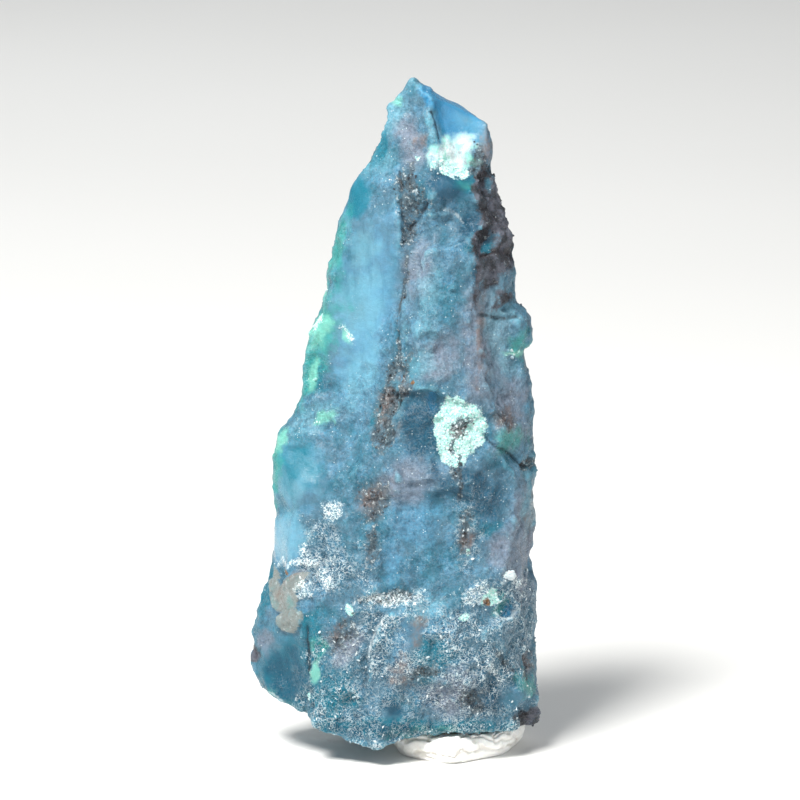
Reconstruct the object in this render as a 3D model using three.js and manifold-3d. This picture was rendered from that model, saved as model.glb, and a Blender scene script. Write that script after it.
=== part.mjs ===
// A rough chip of blue opal, broken out of a narrow vein. It stands on end, pressed into a small
// lump of soft putty. Millimetres, +Z up. The broad broken face looks along -Y and leans back a
// little. The chip is one piece of stone; the putty is the only other piece.
//
// The stone starts as a loft of tilted rings that follow its two long edges. Broken hollows
// (scars) are then cut out of it, each a shallow uneven dish, so that they meet in sharp ridges.
import * as THREE from 'three';
import { mergeVertices } from 'three/addons/utils/BufferGeometryUtils.js';
import Module from 'manifold-3d';

const wasm = await Module();
wasm.setup();

// ---------------------------------------------------------------- driving dimensions

// The two long edges of the stone seen from the front, each [x, z] from its foot to its top.
const LEFT_EDGE = [
  [-8.1, 3.0], [-8.6, 4.2], [-8.7, 5.5], [-8.5, 7.3], [-7.7, 9.9], [-7.3, 11.6], [-7.1, 13.6],
  [-7.2, 15.2], [-7.1, 16.8], [-6.7, 18.2], [-5.9, 19.7], [-5.5, 20.9], [-5.4, 23.5],
  [-5.1, 24.7], [-4.7, 26.0], [-4.5, 27.0], [-4.1, 27.6], [-4.2, 28.3], [-3.7, 29.2],
  [-3.6, 30.4], [-3.1, 31.8], [-2.6, 32.7], [-2.6, 33.4], [-2.2, 34.4], [-1.8, 35.5],
  [-0.9, 37.0], [-0.4, 37.9], [0.5, 39.3], [0.9, 39.9],
];
const RIGHT_EDGE = [
  [8.6, 1.2], [8.8, 2.1], [8.8, 3.3], [8.4, 5.0], [8.4, 9.9], [8.0, 11.3], [8.2, 12.7],
  [8.5, 16.0], [8.5, 18.2], [8.3, 20.4], [7.8, 21.9], [7.8, 25.9], [7.4, 27.3], [7.2, 29.0],
  [6.9, 31.0], [6.4, 32.1], [6.0, 33.5], [5.8, 34.9], [6.0, 36.3], [5.8, 37.1],
];

// Height of the broken foot across the stone, as [share of the width, mm below the straight line
// from the left foot to the right foot].
const FOOT_DIP = [[0, 0], [0.1, 0.3], [0.2, 0.85], [0.3, 1.45], [0.38, 1.85], [0.44, 1.6],
  [0.5, 1.1], [0.7, 0.35], [0.85, 0.1], [1, 0]];
const FOOT_REACH = 0.16; // share of the height over which the dip fades out

// The long ridges of the stone in ring order. across is the share of the width from the left edge,
// depth is y. Each list runs from the foot to the top at equal steps.
const RIDGES = [
  { name: 'left edge', across: [0, 0, 0, 0, 0], depth: [0.6, 0.8, 1.2, 1.8, 1.8] },
  { name: 'front left', across: [0.14, 0.13, 0.14, 0.15, 0.3], depth: [-3.3, -2.9, -1.9, -0.7, 0.6] },
  { name: 'vein', across: [0.47, 0.47, 0.5, 0.52, 0.55], depth: [-5.0, -4.7, -4.0, -2.6, -0.3] },
  { name: 'front right', across: [0.9, 0.88, 0.87, 0.84, 0.8], depth: [-4.2, -3.9, -3.2, -1.9, 0.0] },
  { name: 'right edge', across: [1, 1, 1, 1, 1], depth: [0.4, 0.4, 0.4, 0.8, 1.7] },
  { name: 'back right', across: [0.88, 0.9, 0.9, 0.86, 0.8], depth: [4.2, 4.3, 3.9, 3.5, 3.0] },
  { name: 'back', across: [0.52, 0.55, 0.5, 0.5, 0.5], depth: [5.8, 6.0, 5.6, 4.9, 4.0] },
  { name: 'back left', across: [0.16, 0.14, 0.15, 0.2, 0.25], depth: [4.0, 4.3, 4.1, 3.7, 3.0] },
];
const RIDGE_ROUNDING = 0.28; // 0 gives flat facets between the ridges, 1 a full curve

const RINGS = 40;
const RING_POINTS = 40;
const EDGE_REACH = 0.14; // share of the width over which the edges' small teeth fade out
const EDGE_SWEEP = 0.07; // share of the height over which the teeth are evened out
const LUMP_HEIGHT = 0.42; // unevenness of the whole surface
const LUMP_SPACING = 3.6;

// Hollows broken out of the stone. Each list belongs to one side, named by the way it looks out.
// at is [across, z], where the middle of the hollow shows from that side (across is x on the front
// and back, y on the left and right). size is [width, height, depth]. turn is [yaw, pitch, roll] in
// degrees: yaw swings the floor to the right, pitch tips it up, roll leans the hollow clockwise.
// cup is how many times its depth the cutting body reaches out: 1 is a half ball, more is flatter.
const FRONT_SCARS = [
  { name: 'left band', at: [-2.4, 28.4], size: [8.4, 17.4, 0.8], turn: [-27, 1, 15], cup: 9 },
  { name: 'shelf above the lobe', at: [-4.0, 21.9], size: [6.6, 3.8, 0.85], turn: [-30, 12, 22], cup: 3 },
  { name: 'shoulder band', at: [6.0, 28.0], size: [3.6, 13.0, 0.5], turn: [46, 3, -7], cup: 12 },
  { name: 'top scoop', at: [4.2, 36.9], size: [5.0, 7.4, 1.35], turn: [22, 26, 10], cup: 4 },
  { name: 'undercut', at: [3.9, 32.8], size: [4.4, 3.6, 0.6], turn: [8, -10, -10], cup: 3 },
  { name: 'dark recess', at: [5.8, 30.9], size: [3.2, 1.5, 0.5], turn: [30, -6, -10], cup: 2.4 },
  { name: 'lobe face', at: [-4.4, 15.6], size: [6.6, 9.2, 0.45], turn: [-22, 2, 8], cup: 14 },
  { name: 'hollow under the rim', at: [2.0, 19.7], size: [5.0, 5.0, 0.9], turn: [-6, -8, 6], cup: 3.4 },
  { name: 'main hollow', at: [2.2, 13.9], size: [9.0, 8.8, 1.0], turn: [1, -4, 0], cup: 5 },
  { name: 'right hollow', at: [6.0, 15.2], size: [4.8, 8.4, 0.7], turn: [18, 0, 4], cup: 7 },
  { name: 'chipped corner', at: [7.4, 18.7], size: [3.0, 2.6, 0.5], turn: [44, -8, 20], cup: 4 },
  { name: 'cheek', at: [7.1, 22.6], size: [2.8, 6.0, 0.4], turn: [44, 0, -4], cup: 12 },
  { name: 'druse hollow', at: [5.6, 9.2], size: [5.2, 3.0, 0.5], turn: [9, 6, 8], cup: 5 },
  { name: 'shell', at: [6.8, 8.9], size: [1.9, 1.7, 0.4], turn: [18, 8, 0], cup: 2 },
  { name: 'rough ledge', at: [-5.0, 11.0], size: [5.4, 2.6, 0.5], turn: [-24, 18, 8], cup: 4 },
  { name: 'foot flake', at: [-7.0, 5.4], size: [5.6, 9.4, 0.65], turn: [-38, -5, -6], cup: 12 },
  { name: 'foot groove', at: [-4.95, 5.6], size: [0.9, 5.4, 0.75], turn: [-14, 0, -2], cup: 1.5 },
  { name: 'brown pit', at: [-3.2, 6.9], size: [2.1, 2.9, 0.55], turn: [-6, 0, 30], cup: 2 },
  { name: 'left of the plate', at: [-1.7, 4.8], size: [3.6, 7.6, 0.45], turn: [-4, -3, 18], cup: 6 },
  { name: 'foot middle', at: [2.2, 3.0], size: [6.8, 5.4, 0.5], turn: [2, -10, 12], cup: 11 },
  { name: 'foot right', at: [6.6, 4.4], size: [5.2, 8.0, 0.6], turn: [26, -5, -10], cup: 11 },
  { name: 'foot corner', at: [8.2, 2.4], size: [2.6, 2.6, 0.5], turn: [50, -20, 0], cup: 4 },
];
const RIGHT_SCARS = [
  { name: 'right wall low', at: [2.6, 7.6], size: [5.0, 11.0, 0.5], turn: [20, -3, 8], cup: 12 },
  { name: 'right wall middle', at: [3.0, 17.0], size: [5.0, 11.0, 0.5], turn: [34, 3, -10], cup: 12 },
  { name: 'right wall high', at: [2.8, 27.0], size: [4.4, 12.0, 0.45], turn: [26, 5, 6], cup: 12 },
  { name: 'right wall tip', at: [2.9, 34.4], size: [3.0, 6.6, 0.35], turn: [34, 10, 0], cup: 8 },
];
const LEFT_SCARS = [
  { name: 'left wall low', at: [3.0, 7.0], size: [5.0, 10.0, 0.6], turn: [-34, -5, -8], cup: 12 },
  { name: 'left wall middle', at: [3.1, 15.6], size: [4.8, 10.6, 0.55], turn: [-42, 7, 10], cup: 12 },
  { name: 'left wall high', at: [3.2, 25.8], size: [4.2, 12.0, 0.5], turn: [-36, 13, -6], cup: 12 },
  { name: 'left wall tip', at: [3.0, 34.0], size: [3.2, 7.4, 0.4], turn: [-36, 20, 4], cup: 8 },
];
const BACK_SCARS = [
  { name: 'back foot left', at: [-4.4, 5.6], size: [9.4, 12.0, 0.9], turn: [26, -7, 12], cup: 12 },
  { name: 'back foot right', at: [3.6, 5.8], size: [11.0, 12.0, 1.1], turn: [-12, -8, -16], cup: 11 },
  { name: 'back middle', at: [-2.2, 15.4], size: [10.0, 12.6, 1.05], turn: [14, 0, 20], cup: 11 },
  { name: 'back side', at: [4.4, 17.6], size: [9.0, 13.0, 0.95], turn: [-20, 2, -12], cup: 12 },
  { name: 'back shoulder', at: [-0.4, 25.6], size: [9.6, 11.6, 0.9], turn: [8, 5, -24], cup: 12 },
  { name: 'back edge', at: [4.6, 28.4], size: [6.0, 10.0, 0.6], turn: [-24, 6, 10], cup: 12 },
  { name: 'back crown', at: [0.2, 34.2], size: [5.8, 8.6, 0.6], turn: [16, 8, 12], cup: 10 },
  { name: 'back tip', at: [4.0, 35.2], size: [5.2, 7.0, 0.6], turn: [-14, 14, -10], cup: 9 },
];
const BLUNTNESS = 2.7; // 2 makes the cutting bodies ellipsoids, more makes them boxier
const CUT_WAVE = 0.3; // unevenness of a cut face
const CUT_WAVE_SPACING = 2.2;
const SCAR_FACET = 1.1; // length of a cut facet's side

// Grooves and pits eaten into the front along the brown vein and in the dark right shoulder.
const PITS = [
  { name: 'vein head', at: [1.2, 32.9], size: [2.2, 4.6, 0.5], turn: [0, 4, -6], cup: 2.6 },
  { name: 'vein neck', at: [0.9, 29.9], size: [1.5, 2.2, 0.4], turn: [0, 4, 10], cup: 2 },
  { name: 'vein line', at: [0.6, 26.6], size: [0.9, 5.6, 0.3], turn: [0, 4, 2], cup: 2 },
  { name: 'rusty stretch', at: [-0.6, 21.4], size: [1.6, 4.4, 0.45], turn: [0, 4, 14], cup: 2 },
  { name: 'vein foot', at: [-1.1, 15.0], size: [1.3, 5.4, 0.3], turn: [0, 0, 2], cup: 2.4 },
  { name: 'shoulder slot', at: [6.7, 26.5], size: [1.9, 0.7, 0.4], turn: [36, 4, 6], cup: 1.6 },
  { name: 'shoulder pit high', at: [5.6, 33.8], size: [1.3, 1.5, 0.4], turn: [36, 4, 8], cup: 1.8 },
  { name: 'shoulder pit', at: [6.3, 28.6], size: [1.6, 1.9, 0.4], turn: [36, 4, -12], cup: 2 },
];
const PIT_FACET = 0.5;

// The knob fused to the right edge.
const KNOB = { at: [6.9, 0.7, 25.0], half: [1.4, 1.6, 1.6] };
const KNOB_FACET = 0.8;

const TRIM = 0.02; // slivers flatter than this are merged into their neighbours

// The putty lump, and how far the stone is pressed into it.
const PUTTY_HALF = [3.8, 4.2]; // half sizes along X and Y on the table
const PUTTY_CENTRE = [3.6, 0.5];
const PUTTY_HEIGHT = 2.4;
const PUTTY_BULGE = 0.12; // share that the side stands out above the foot
const STONE_LIFT = 0.5; // the putty keeps the stone this far above where its tip would touch
const PUTTY_RINGS = 7;
const PUTTY_POINTS = 40;
const FIT_GAP = 0.32; // between stone and putty

const SEED = 11;

// ---------------------------------------------------------------- helpers

const UP = new THREE.Vector3(0, 0, 1);
const RIGHT = new THREE.Vector3(1, 0, 0);
const FRONT = new THREE.Vector3(0, -1, 0);
const FAR = 40;

// A repeatable number from 0 to 1 for a whole-number grid point.
function gridValue(i, j, k) {
  const mixed = Math.sin(i * 127.1 + j * 311.7 + k * 74.7 + SEED * 53.3) * 43758.5453;
  return mixed - Math.floor(mixed);
}

// Smooth noise from -1 to 1 at a point, with one cell per unit.
function noise(p) {
  const cell = [Math.floor(p.x), Math.floor(p.y), Math.floor(p.z)];
  const ease = [p.x - cell[0], p.y - cell[1], p.z - cell[2]].map((t) => t * t * (3 - 2 * t));
  let sum = 0;
  for (let corner = 0; corner < 8; corner++) {
    const step = [corner & 1, (corner >> 1) & 1, (corner >> 2) & 1];
    const weight = step.reduce((w, one, axis) => w * (one ? ease[axis] : 1 - ease[axis]), 1);
    sum += weight * gridValue(cell[0] + step[0], cell[1] + step[1], cell[2] + step[2]);
  }
  return sum * 2 - 1;
}

// Unevenness of broken stone at a point: broad swells with finer ones on them.
function unevenness(point) {
  const broad = noise(point.clone().divideScalar(LUMP_SPACING));
  const fine = noise(point.clone().multiplyScalar(2.3 / LUMP_SPACING));
  return LUMP_HEIGHT * (0.65 * broad + 0.35 * fine);
}

// Straight-line reading of a list of [key, value] pairs.
function readPairs(pairs, key) {
  for (let i = 1; i < pairs.length; i++) {
    const [k0, v0] = pairs[i - 1];
    const [k1, v1] = pairs[i];
    if (key <= k1) return THREE.MathUtils.mapLinear(key, k0, k1, v0, v1);
  }
  return pairs[pairs.length - 1][1];
}

// The point of a long edge at a share of its own height.
function edgePoint(edge, share) {
  const foot = edge[0][1];
  const top = edge[edge.length - 1][1];
  const z = THREE.MathUtils.lerp(foot, top, share);
  return { x: readPairs(edge.map(([x, height]) => [height, x]), z), z };
}

// A value of a ridge's list at a share of the height.
function ridgeValue(list, share) {
  const curve = new THREE.SplineCurve(list.map((v, i) => new THREE.Vector2(i, v)));
  return curve.getPoint(share).y;
}

function toSolid(geometry) {
  const bare = geometry.clone();
  bare.deleteAttribute('normal');
  bare.deleteAttribute('uv');
  const merged = mergeVertices(bare, 1e-5);
  return new wasm.Manifold(new wasm.Mesh({
    numProp: 3,
    vertProperties: new Float32Array(merged.attributes.position.array),
    triVerts: new Uint32Array(merged.index.array),
  }));
}

function toGeometry(solid) {
  const mesh = solid.getMesh();
  const geometry = new THREE.BufferGeometry();
  geometry.setAttribute('position', new THREE.BufferAttribute(mesh.vertProperties, 3));
  geometry.setIndex(new THREE.BufferAttribute(mesh.triVerts, 1));
  geometry.computeVertexNormals();
  return geometry;
}

// A closed skin over rings of equal length, with both ends closed by a fan to their middles.
function skin(rings, footMiddle, topMiddle) {
  const count = rings[0].length;
  const points = [...rings.flat(), footMiddle, topMiddle];
  const footIndex = points.length - 2;
  const topIndex = points.length - 1;
  const last = (rings.length - 1) * count;
  const faces = [];
  for (let i = 0; i < count; i++) {
    const next = (i + 1) % count;
    for (let r = 0; r + 1 < rings.length; r++) {
      const low = r * count;
      const high = low + count;
      faces.push(low + i, low + next, high + next, low + i, high + next, high + i);
    }
    faces.push(footIndex, next, i, topIndex, last + i, last + next);
  }
  const geometry = new THREE.BufferGeometry().setFromPoints(points);
  geometry.setIndex(faces);
  return geometry;
}

// The turn that takes the front direction to a yaw to the right and a pitch upwards.
function facing([yaw, pitch, roll]) {
  const turn = (axis, degrees) =>
    new THREE.Quaternion().setFromAxisAngle(axis, THREE.MathUtils.degToRad(degrees));
  return turn(UP, yaw).multiply(turn(RIGHT, -pitch)).multiply(turn(FRONT, -roll));
}

// An uneven blunt ball of flat facets whose sides are about the stated length.
function unevenBall(middle, half, turn, facet) {
  const detail = Math.max(1, Math.round(Math.max(...half) / facet) - 1);
  const ball = new THREE.IcosahedronGeometry(1, detail);
  const place = ball.attributes.position;
  const point = new THREE.Vector3();
  for (let i = 0; i < place.count; i++) {
    point.fromBufferAttribute(place, i);
    const power = point.toArray().reduce((sum, v) => sum + Math.abs(v) ** BLUNTNESS, 0);
    point.multiplyScalar(1 / power ** (1 / BLUNTNESS));
    point.multiply(new THREE.Vector3(...half)).applyQuaternion(turn);
    const wave = CUT_WAVE * noise(point.clone().add(middle).divideScalar(CUT_WAVE_SPACING));
    point.addScaledVector(point.clone().normalize(), wave).add(middle);
    place.setXYZ(i, point.x, point.y, point.z);
  }
  return toSolid(ball);
}

// The point of a solid that shows at [across, z] from the side with the given yaw.
function surfacePoint(body, sideYaw, [across, z]) {
  const turn = facing([sideYaw, 0, 0]);
  const outward = FRONT.clone().applyQuaternion(turn);
  const sideways = Math.abs(outward.x) > 0.5 ? [0, across] : [across, 0];
  const start = new THREE.Vector3(...sideways, z).addScaledVector(outward, FAR);
  const hits = new THREE.Raycaster(start, outward.negate()).intersectObject(body);
  if (hits.length === 0) throw new Error(`nothing of the stone shows at ${across}, ${z}`);
  return hits[0].point;
}

// The body that cuts a scar whose middle lies at a point of the surface.
function scarCutter(scar, sideYaw, middle, facet) {
  const [width, height, depth] = scar.size;
  const [yaw, pitch, roll] = scar.turn;
  const turn = facing([sideYaw + yaw, pitch, roll]);
  const outward = FRONT.clone().applyQuaternion(turn);
  const reach = scar.cup * depth;
  const rim = (1 - (1 - 1 / scar.cup) ** BLUNTNESS) ** (1 / BLUNTNESS);
  const centre = middle.clone().addScaledVector(outward, reach - depth);
  return unevenBall(centre, [width / 2 / rim, reach, height / 2 / rim], turn, facet);
}

// The bodies that cut the listed scars into one side of a solid.
function cutters(solid, sideYaw, scars, facet) {
  const body = new THREE.Mesh(toGeometry(solid));
  return scars.map((scar) =>
    scarCutter(scar, sideYaw, surfacePoint(body, sideYaw, scar.at), facet));
}

// ---------------------------------------------------------------- the stone

// x of a long edge at a share of its height, with its small teeth evened out.
function sweptEdge(edge, share) {
  const near = [-2, -1, 0, 1, 2].map((step) =>
    edgePoint(edge, THREE.MathUtils.clamp(share + step / 2 * EDGE_SWEEP, 0, 1)).x);
  return near.reduce((sum, x) => sum + x, 0) / near.length;
}

// One tilted ring of the loft, share of the height from 0 at the foot to 1 at the top.
function stoneRing(share) {
  const left = edgePoint(LEFT_EDGE, share);
  const right = edgePoint(RIGHT_EDGE, share);
  const sweptLeft = sweptEdge(LEFT_EDGE, share);
  const sweptRight = sweptEdge(RIGHT_EDGE, share);
  const corners = RIDGES.map((ridge) => new THREE.Vector3(
    ridgeValue(ridge.across, share), ridgeValue(ridge.depth, share), 0));
  const section = new THREE.CatmullRomCurve3(corners, true, 'catmullrom', RIDGE_ROUNDING);
  const dipShare = Math.max(0, 1 - share / FOOT_REACH);
  const ring = [];
  for (let i = 0; i < RING_POINTS; i++) {
    const { x, y: depth } = section.getPoint(i / RING_POINTS);
    const across = THREE.MathUtils.clamp(x, 0, 1);
    const leftTooth = (left.x - sweptLeft) * Math.max(0, 1 - across / EDGE_REACH);
    const rightTooth = (right.x - sweptRight) * Math.max(0, 1 - (1 - across) / EDGE_REACH);
    const point = new THREE.Vector3(
      THREE.MathUtils.lerp(sweptLeft, sweptRight, across) + leftTooth + rightTooth,
      depth,
      THREE.MathUtils.lerp(left.z, right.z, across) - dipShare * readPairs(FOOT_DIP, across),
    );
    const outward = new THREE.Vector3(across - 0.5, depth / 12, 0).normalize();
    ring.push(point.addScaledVector(outward, unevenness(point)));
  }
  return ring;
}

function middleOf(ring) {
  const sum = ring.reduce((total, p) => total.add(p), new THREE.Vector3());
  return sum.divideScalar(ring.length);
}

function shrunk(ring, share) {
  const middle = middleOf(ring);
  return ring.map((p) => p.clone().lerp(middle, share));
}

function stoneLoft() {
  const rings = Array.from({ length: RINGS }, (_, r) => stoneRing(r / (RINGS - 1)));
  const foot = rings[0];
  const top = rings[RINGS - 1];
  const closed = [shrunk(foot, 0.5), ...rings, shrunk(top, 0.5)];
  return toSolid(skin(closed, middleOf(foot), middleOf(top)));
}

function makeStone() {
  const cut = (rest, cutter) => rest.subtract(cutter);
  const whole = stoneLoft();
  const sides = [[0, FRONT_SCARS], [90, RIGHT_SCARS], [180, BACK_SCARS], [-90, LEFT_SCARS]];
  const broken = sides
    .flatMap(([yaw, scars]) => cutters(whole, yaw, scars, SCAR_FACET))
    .reduce(cut, whole);
  const knob = unevenBall(new THREE.Vector3(...KNOB.at), KNOB.half, facing([0, 0, 0]), KNOB_FACET);
  const joined = broken.add(knob);
  const pitted = cutters(joined, 0, PITS, PIT_FACET).reduce(cut, joined);
  return pitted.simplify(TRIM).translate([0, 0, STONE_LIFT]);
}

// ---------------------------------------------------------------- the putty

// A low pressed lump with a flat underside, before the stone's foot is pressed into it.
function puttyLump() {
  const rings = [];
  for (let r = 0; r < PUTTY_RINGS; r++) {
    const rise = r / (PUTTY_RINGS - 1);
    const spread = (1 + PUTTY_BULGE * Math.sin(Math.PI * rise)) * (1 - 0.3 * rise ** 3);
    const ring = [];
    for (let i = 0; i < PUTTY_POINTS; i++) {
      const angle = (i / PUTTY_POINTS) * 2 * Math.PI;
      const wave = 1 + 0.05 * Math.sin(3 * angle + 0.7) + 0.03 * Math.sin(7 * angle);
      ring.push(new THREE.Vector3(
        PUTTY_CENTRE[0] + PUTTY_HALF[0] * spread * wave * Math.cos(angle),
        PUTTY_CENTRE[1] + PUTTY_HALF[1] * spread * wave * Math.sin(angle),
        PUTTY_HEIGHT * rise,
      ));
    }
    rings.push(ring);
  }
  return toSolid(skin(rings, middleOf(rings[0]), middleOf(rings[PUTTY_RINGS - 1])));
}

// The stone swept a little to each side and down, so that the dent in the putty clears it.
function pressedDent(stone) {
  const moves = [[0, 0, -1], [1, 0, 0], [-1, 0, 0], [0, 1, 0], [0, -1, 0]];
  return moves.reduce(
    (dent, move) => dent.add(stone.translate(move.map((m) => m * FIT_GAP))),
    stone.translate([0, 0, FIT_GAP]),
  );
}

// ---------------------------------------------------------------- assembly

const stone = makeStone();
const putty = puttyLump().subtract(pressedDent(stone));

const stoneMesh = new THREE.Mesh(
  toGeometry(stone),
  new THREE.MeshStandardMaterial({ color: 0x5f9db4, roughness: 0.42, metalness: 0 }),
);
stoneMesh.name = 'opal_stone';

const puttyMesh = new THREE.Mesh(
  toGeometry(putty),
  new THREE.MeshStandardMaterial({ color: 0xe8e2d6, roughness: 0.75, metalness: 0 }),
);
puttyMesh.name = 'putty_lump';

const specimen = new THREE.Group();
specimen.add(stoneMesh, puttyMesh);

// The origin is the middle of the footprint, on the table.
const box = new THREE.Box3().setFromObject(specimen, true);
const middle = box.getCenter(new THREE.Vector3());
specimen.position.set(-middle.x, -middle.y, -box.min.z);

export default specimen;
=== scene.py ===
"""A rough chip of blue opal that stands in a lump of white putty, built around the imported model.

The stone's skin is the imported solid, remeshed fine and worked over as arrays: facets are evened
while the arrises stay sharp, then lumps, granular veins, cracks and thin plates are laid on as
relief. The masks that shape the relief stay on the mesh as attributes, and the stone's material
reads them. Geometry Nodes strew the crystals, grains and fibres. All shaping is in millimetres,
and a finished piece is brought to metres, at the origin, unturned and unscaled.
"""

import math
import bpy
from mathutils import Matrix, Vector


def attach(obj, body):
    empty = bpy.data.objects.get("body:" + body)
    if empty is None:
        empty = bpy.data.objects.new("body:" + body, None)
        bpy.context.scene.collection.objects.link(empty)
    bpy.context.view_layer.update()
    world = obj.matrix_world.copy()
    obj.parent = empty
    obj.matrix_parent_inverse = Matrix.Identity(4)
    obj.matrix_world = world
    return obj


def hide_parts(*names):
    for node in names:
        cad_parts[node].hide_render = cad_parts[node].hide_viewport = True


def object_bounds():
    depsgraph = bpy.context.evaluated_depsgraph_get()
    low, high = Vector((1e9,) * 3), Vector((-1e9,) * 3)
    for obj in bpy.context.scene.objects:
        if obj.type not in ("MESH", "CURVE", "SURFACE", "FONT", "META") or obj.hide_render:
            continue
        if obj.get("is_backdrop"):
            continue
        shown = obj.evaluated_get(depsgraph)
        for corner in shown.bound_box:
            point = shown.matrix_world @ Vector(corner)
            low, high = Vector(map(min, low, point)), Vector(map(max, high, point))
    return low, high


bl_info = {
    "name": "Blue Opal Specimen",
    "version": (1, 0, 0),
    "blender": (4, 5, 0),
    "location": "View3D > Sidebar > Specimen",
    "description": "Builds the skin, crystals, putty and stage of a blue opal specimen",
    "category": "Add Mesh",
}

from collections import namedtuple
from functools import cache

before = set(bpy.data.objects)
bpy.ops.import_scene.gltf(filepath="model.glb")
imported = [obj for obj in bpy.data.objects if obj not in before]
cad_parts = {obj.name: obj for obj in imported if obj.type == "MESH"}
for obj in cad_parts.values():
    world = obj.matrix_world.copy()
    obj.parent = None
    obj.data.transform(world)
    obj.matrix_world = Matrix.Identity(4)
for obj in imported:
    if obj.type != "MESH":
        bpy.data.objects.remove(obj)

import bmesh
import bpy
import numpy as np
from bpy.props import FloatProperty, FloatVectorProperty, IntProperty, PointerProperty
from bpy.types import Operator, Panel, PropertyGroup
from mathutils import Matrix, Vector
from mathutils.bvhtree import BVHTree

MM = 0.001
BODY = "root"
STONE_NODE, PUTTY_NODE = "opal_stone", "putty_lump"
SKIN = "opal_skin"
BOX_MARGIN = 1e-4

# ---- places on the stone

# The front is read from a little above. A place on it is (across, rise) in mm: across is x, and
# rise is the height that shows from there, z + y * SIGHT.
SIGHT_ANGLE = math.radians(12.7)
SIGHT = math.tan(SIGHT_ANGLE)

# A mark is a ragged oval on the front, in mm. lean is its clockwise lean in degrees, edge the
# share of its radius over which it fades, and ragged how far its rim wanders.
Mark = namedtuple("Mark", "across rise width height lean edge ragged")


def marks_from(rows):
    """Named rows of numbers as marks."""
    return {name: Mark(*row) for name, row in rows.items()}


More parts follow.
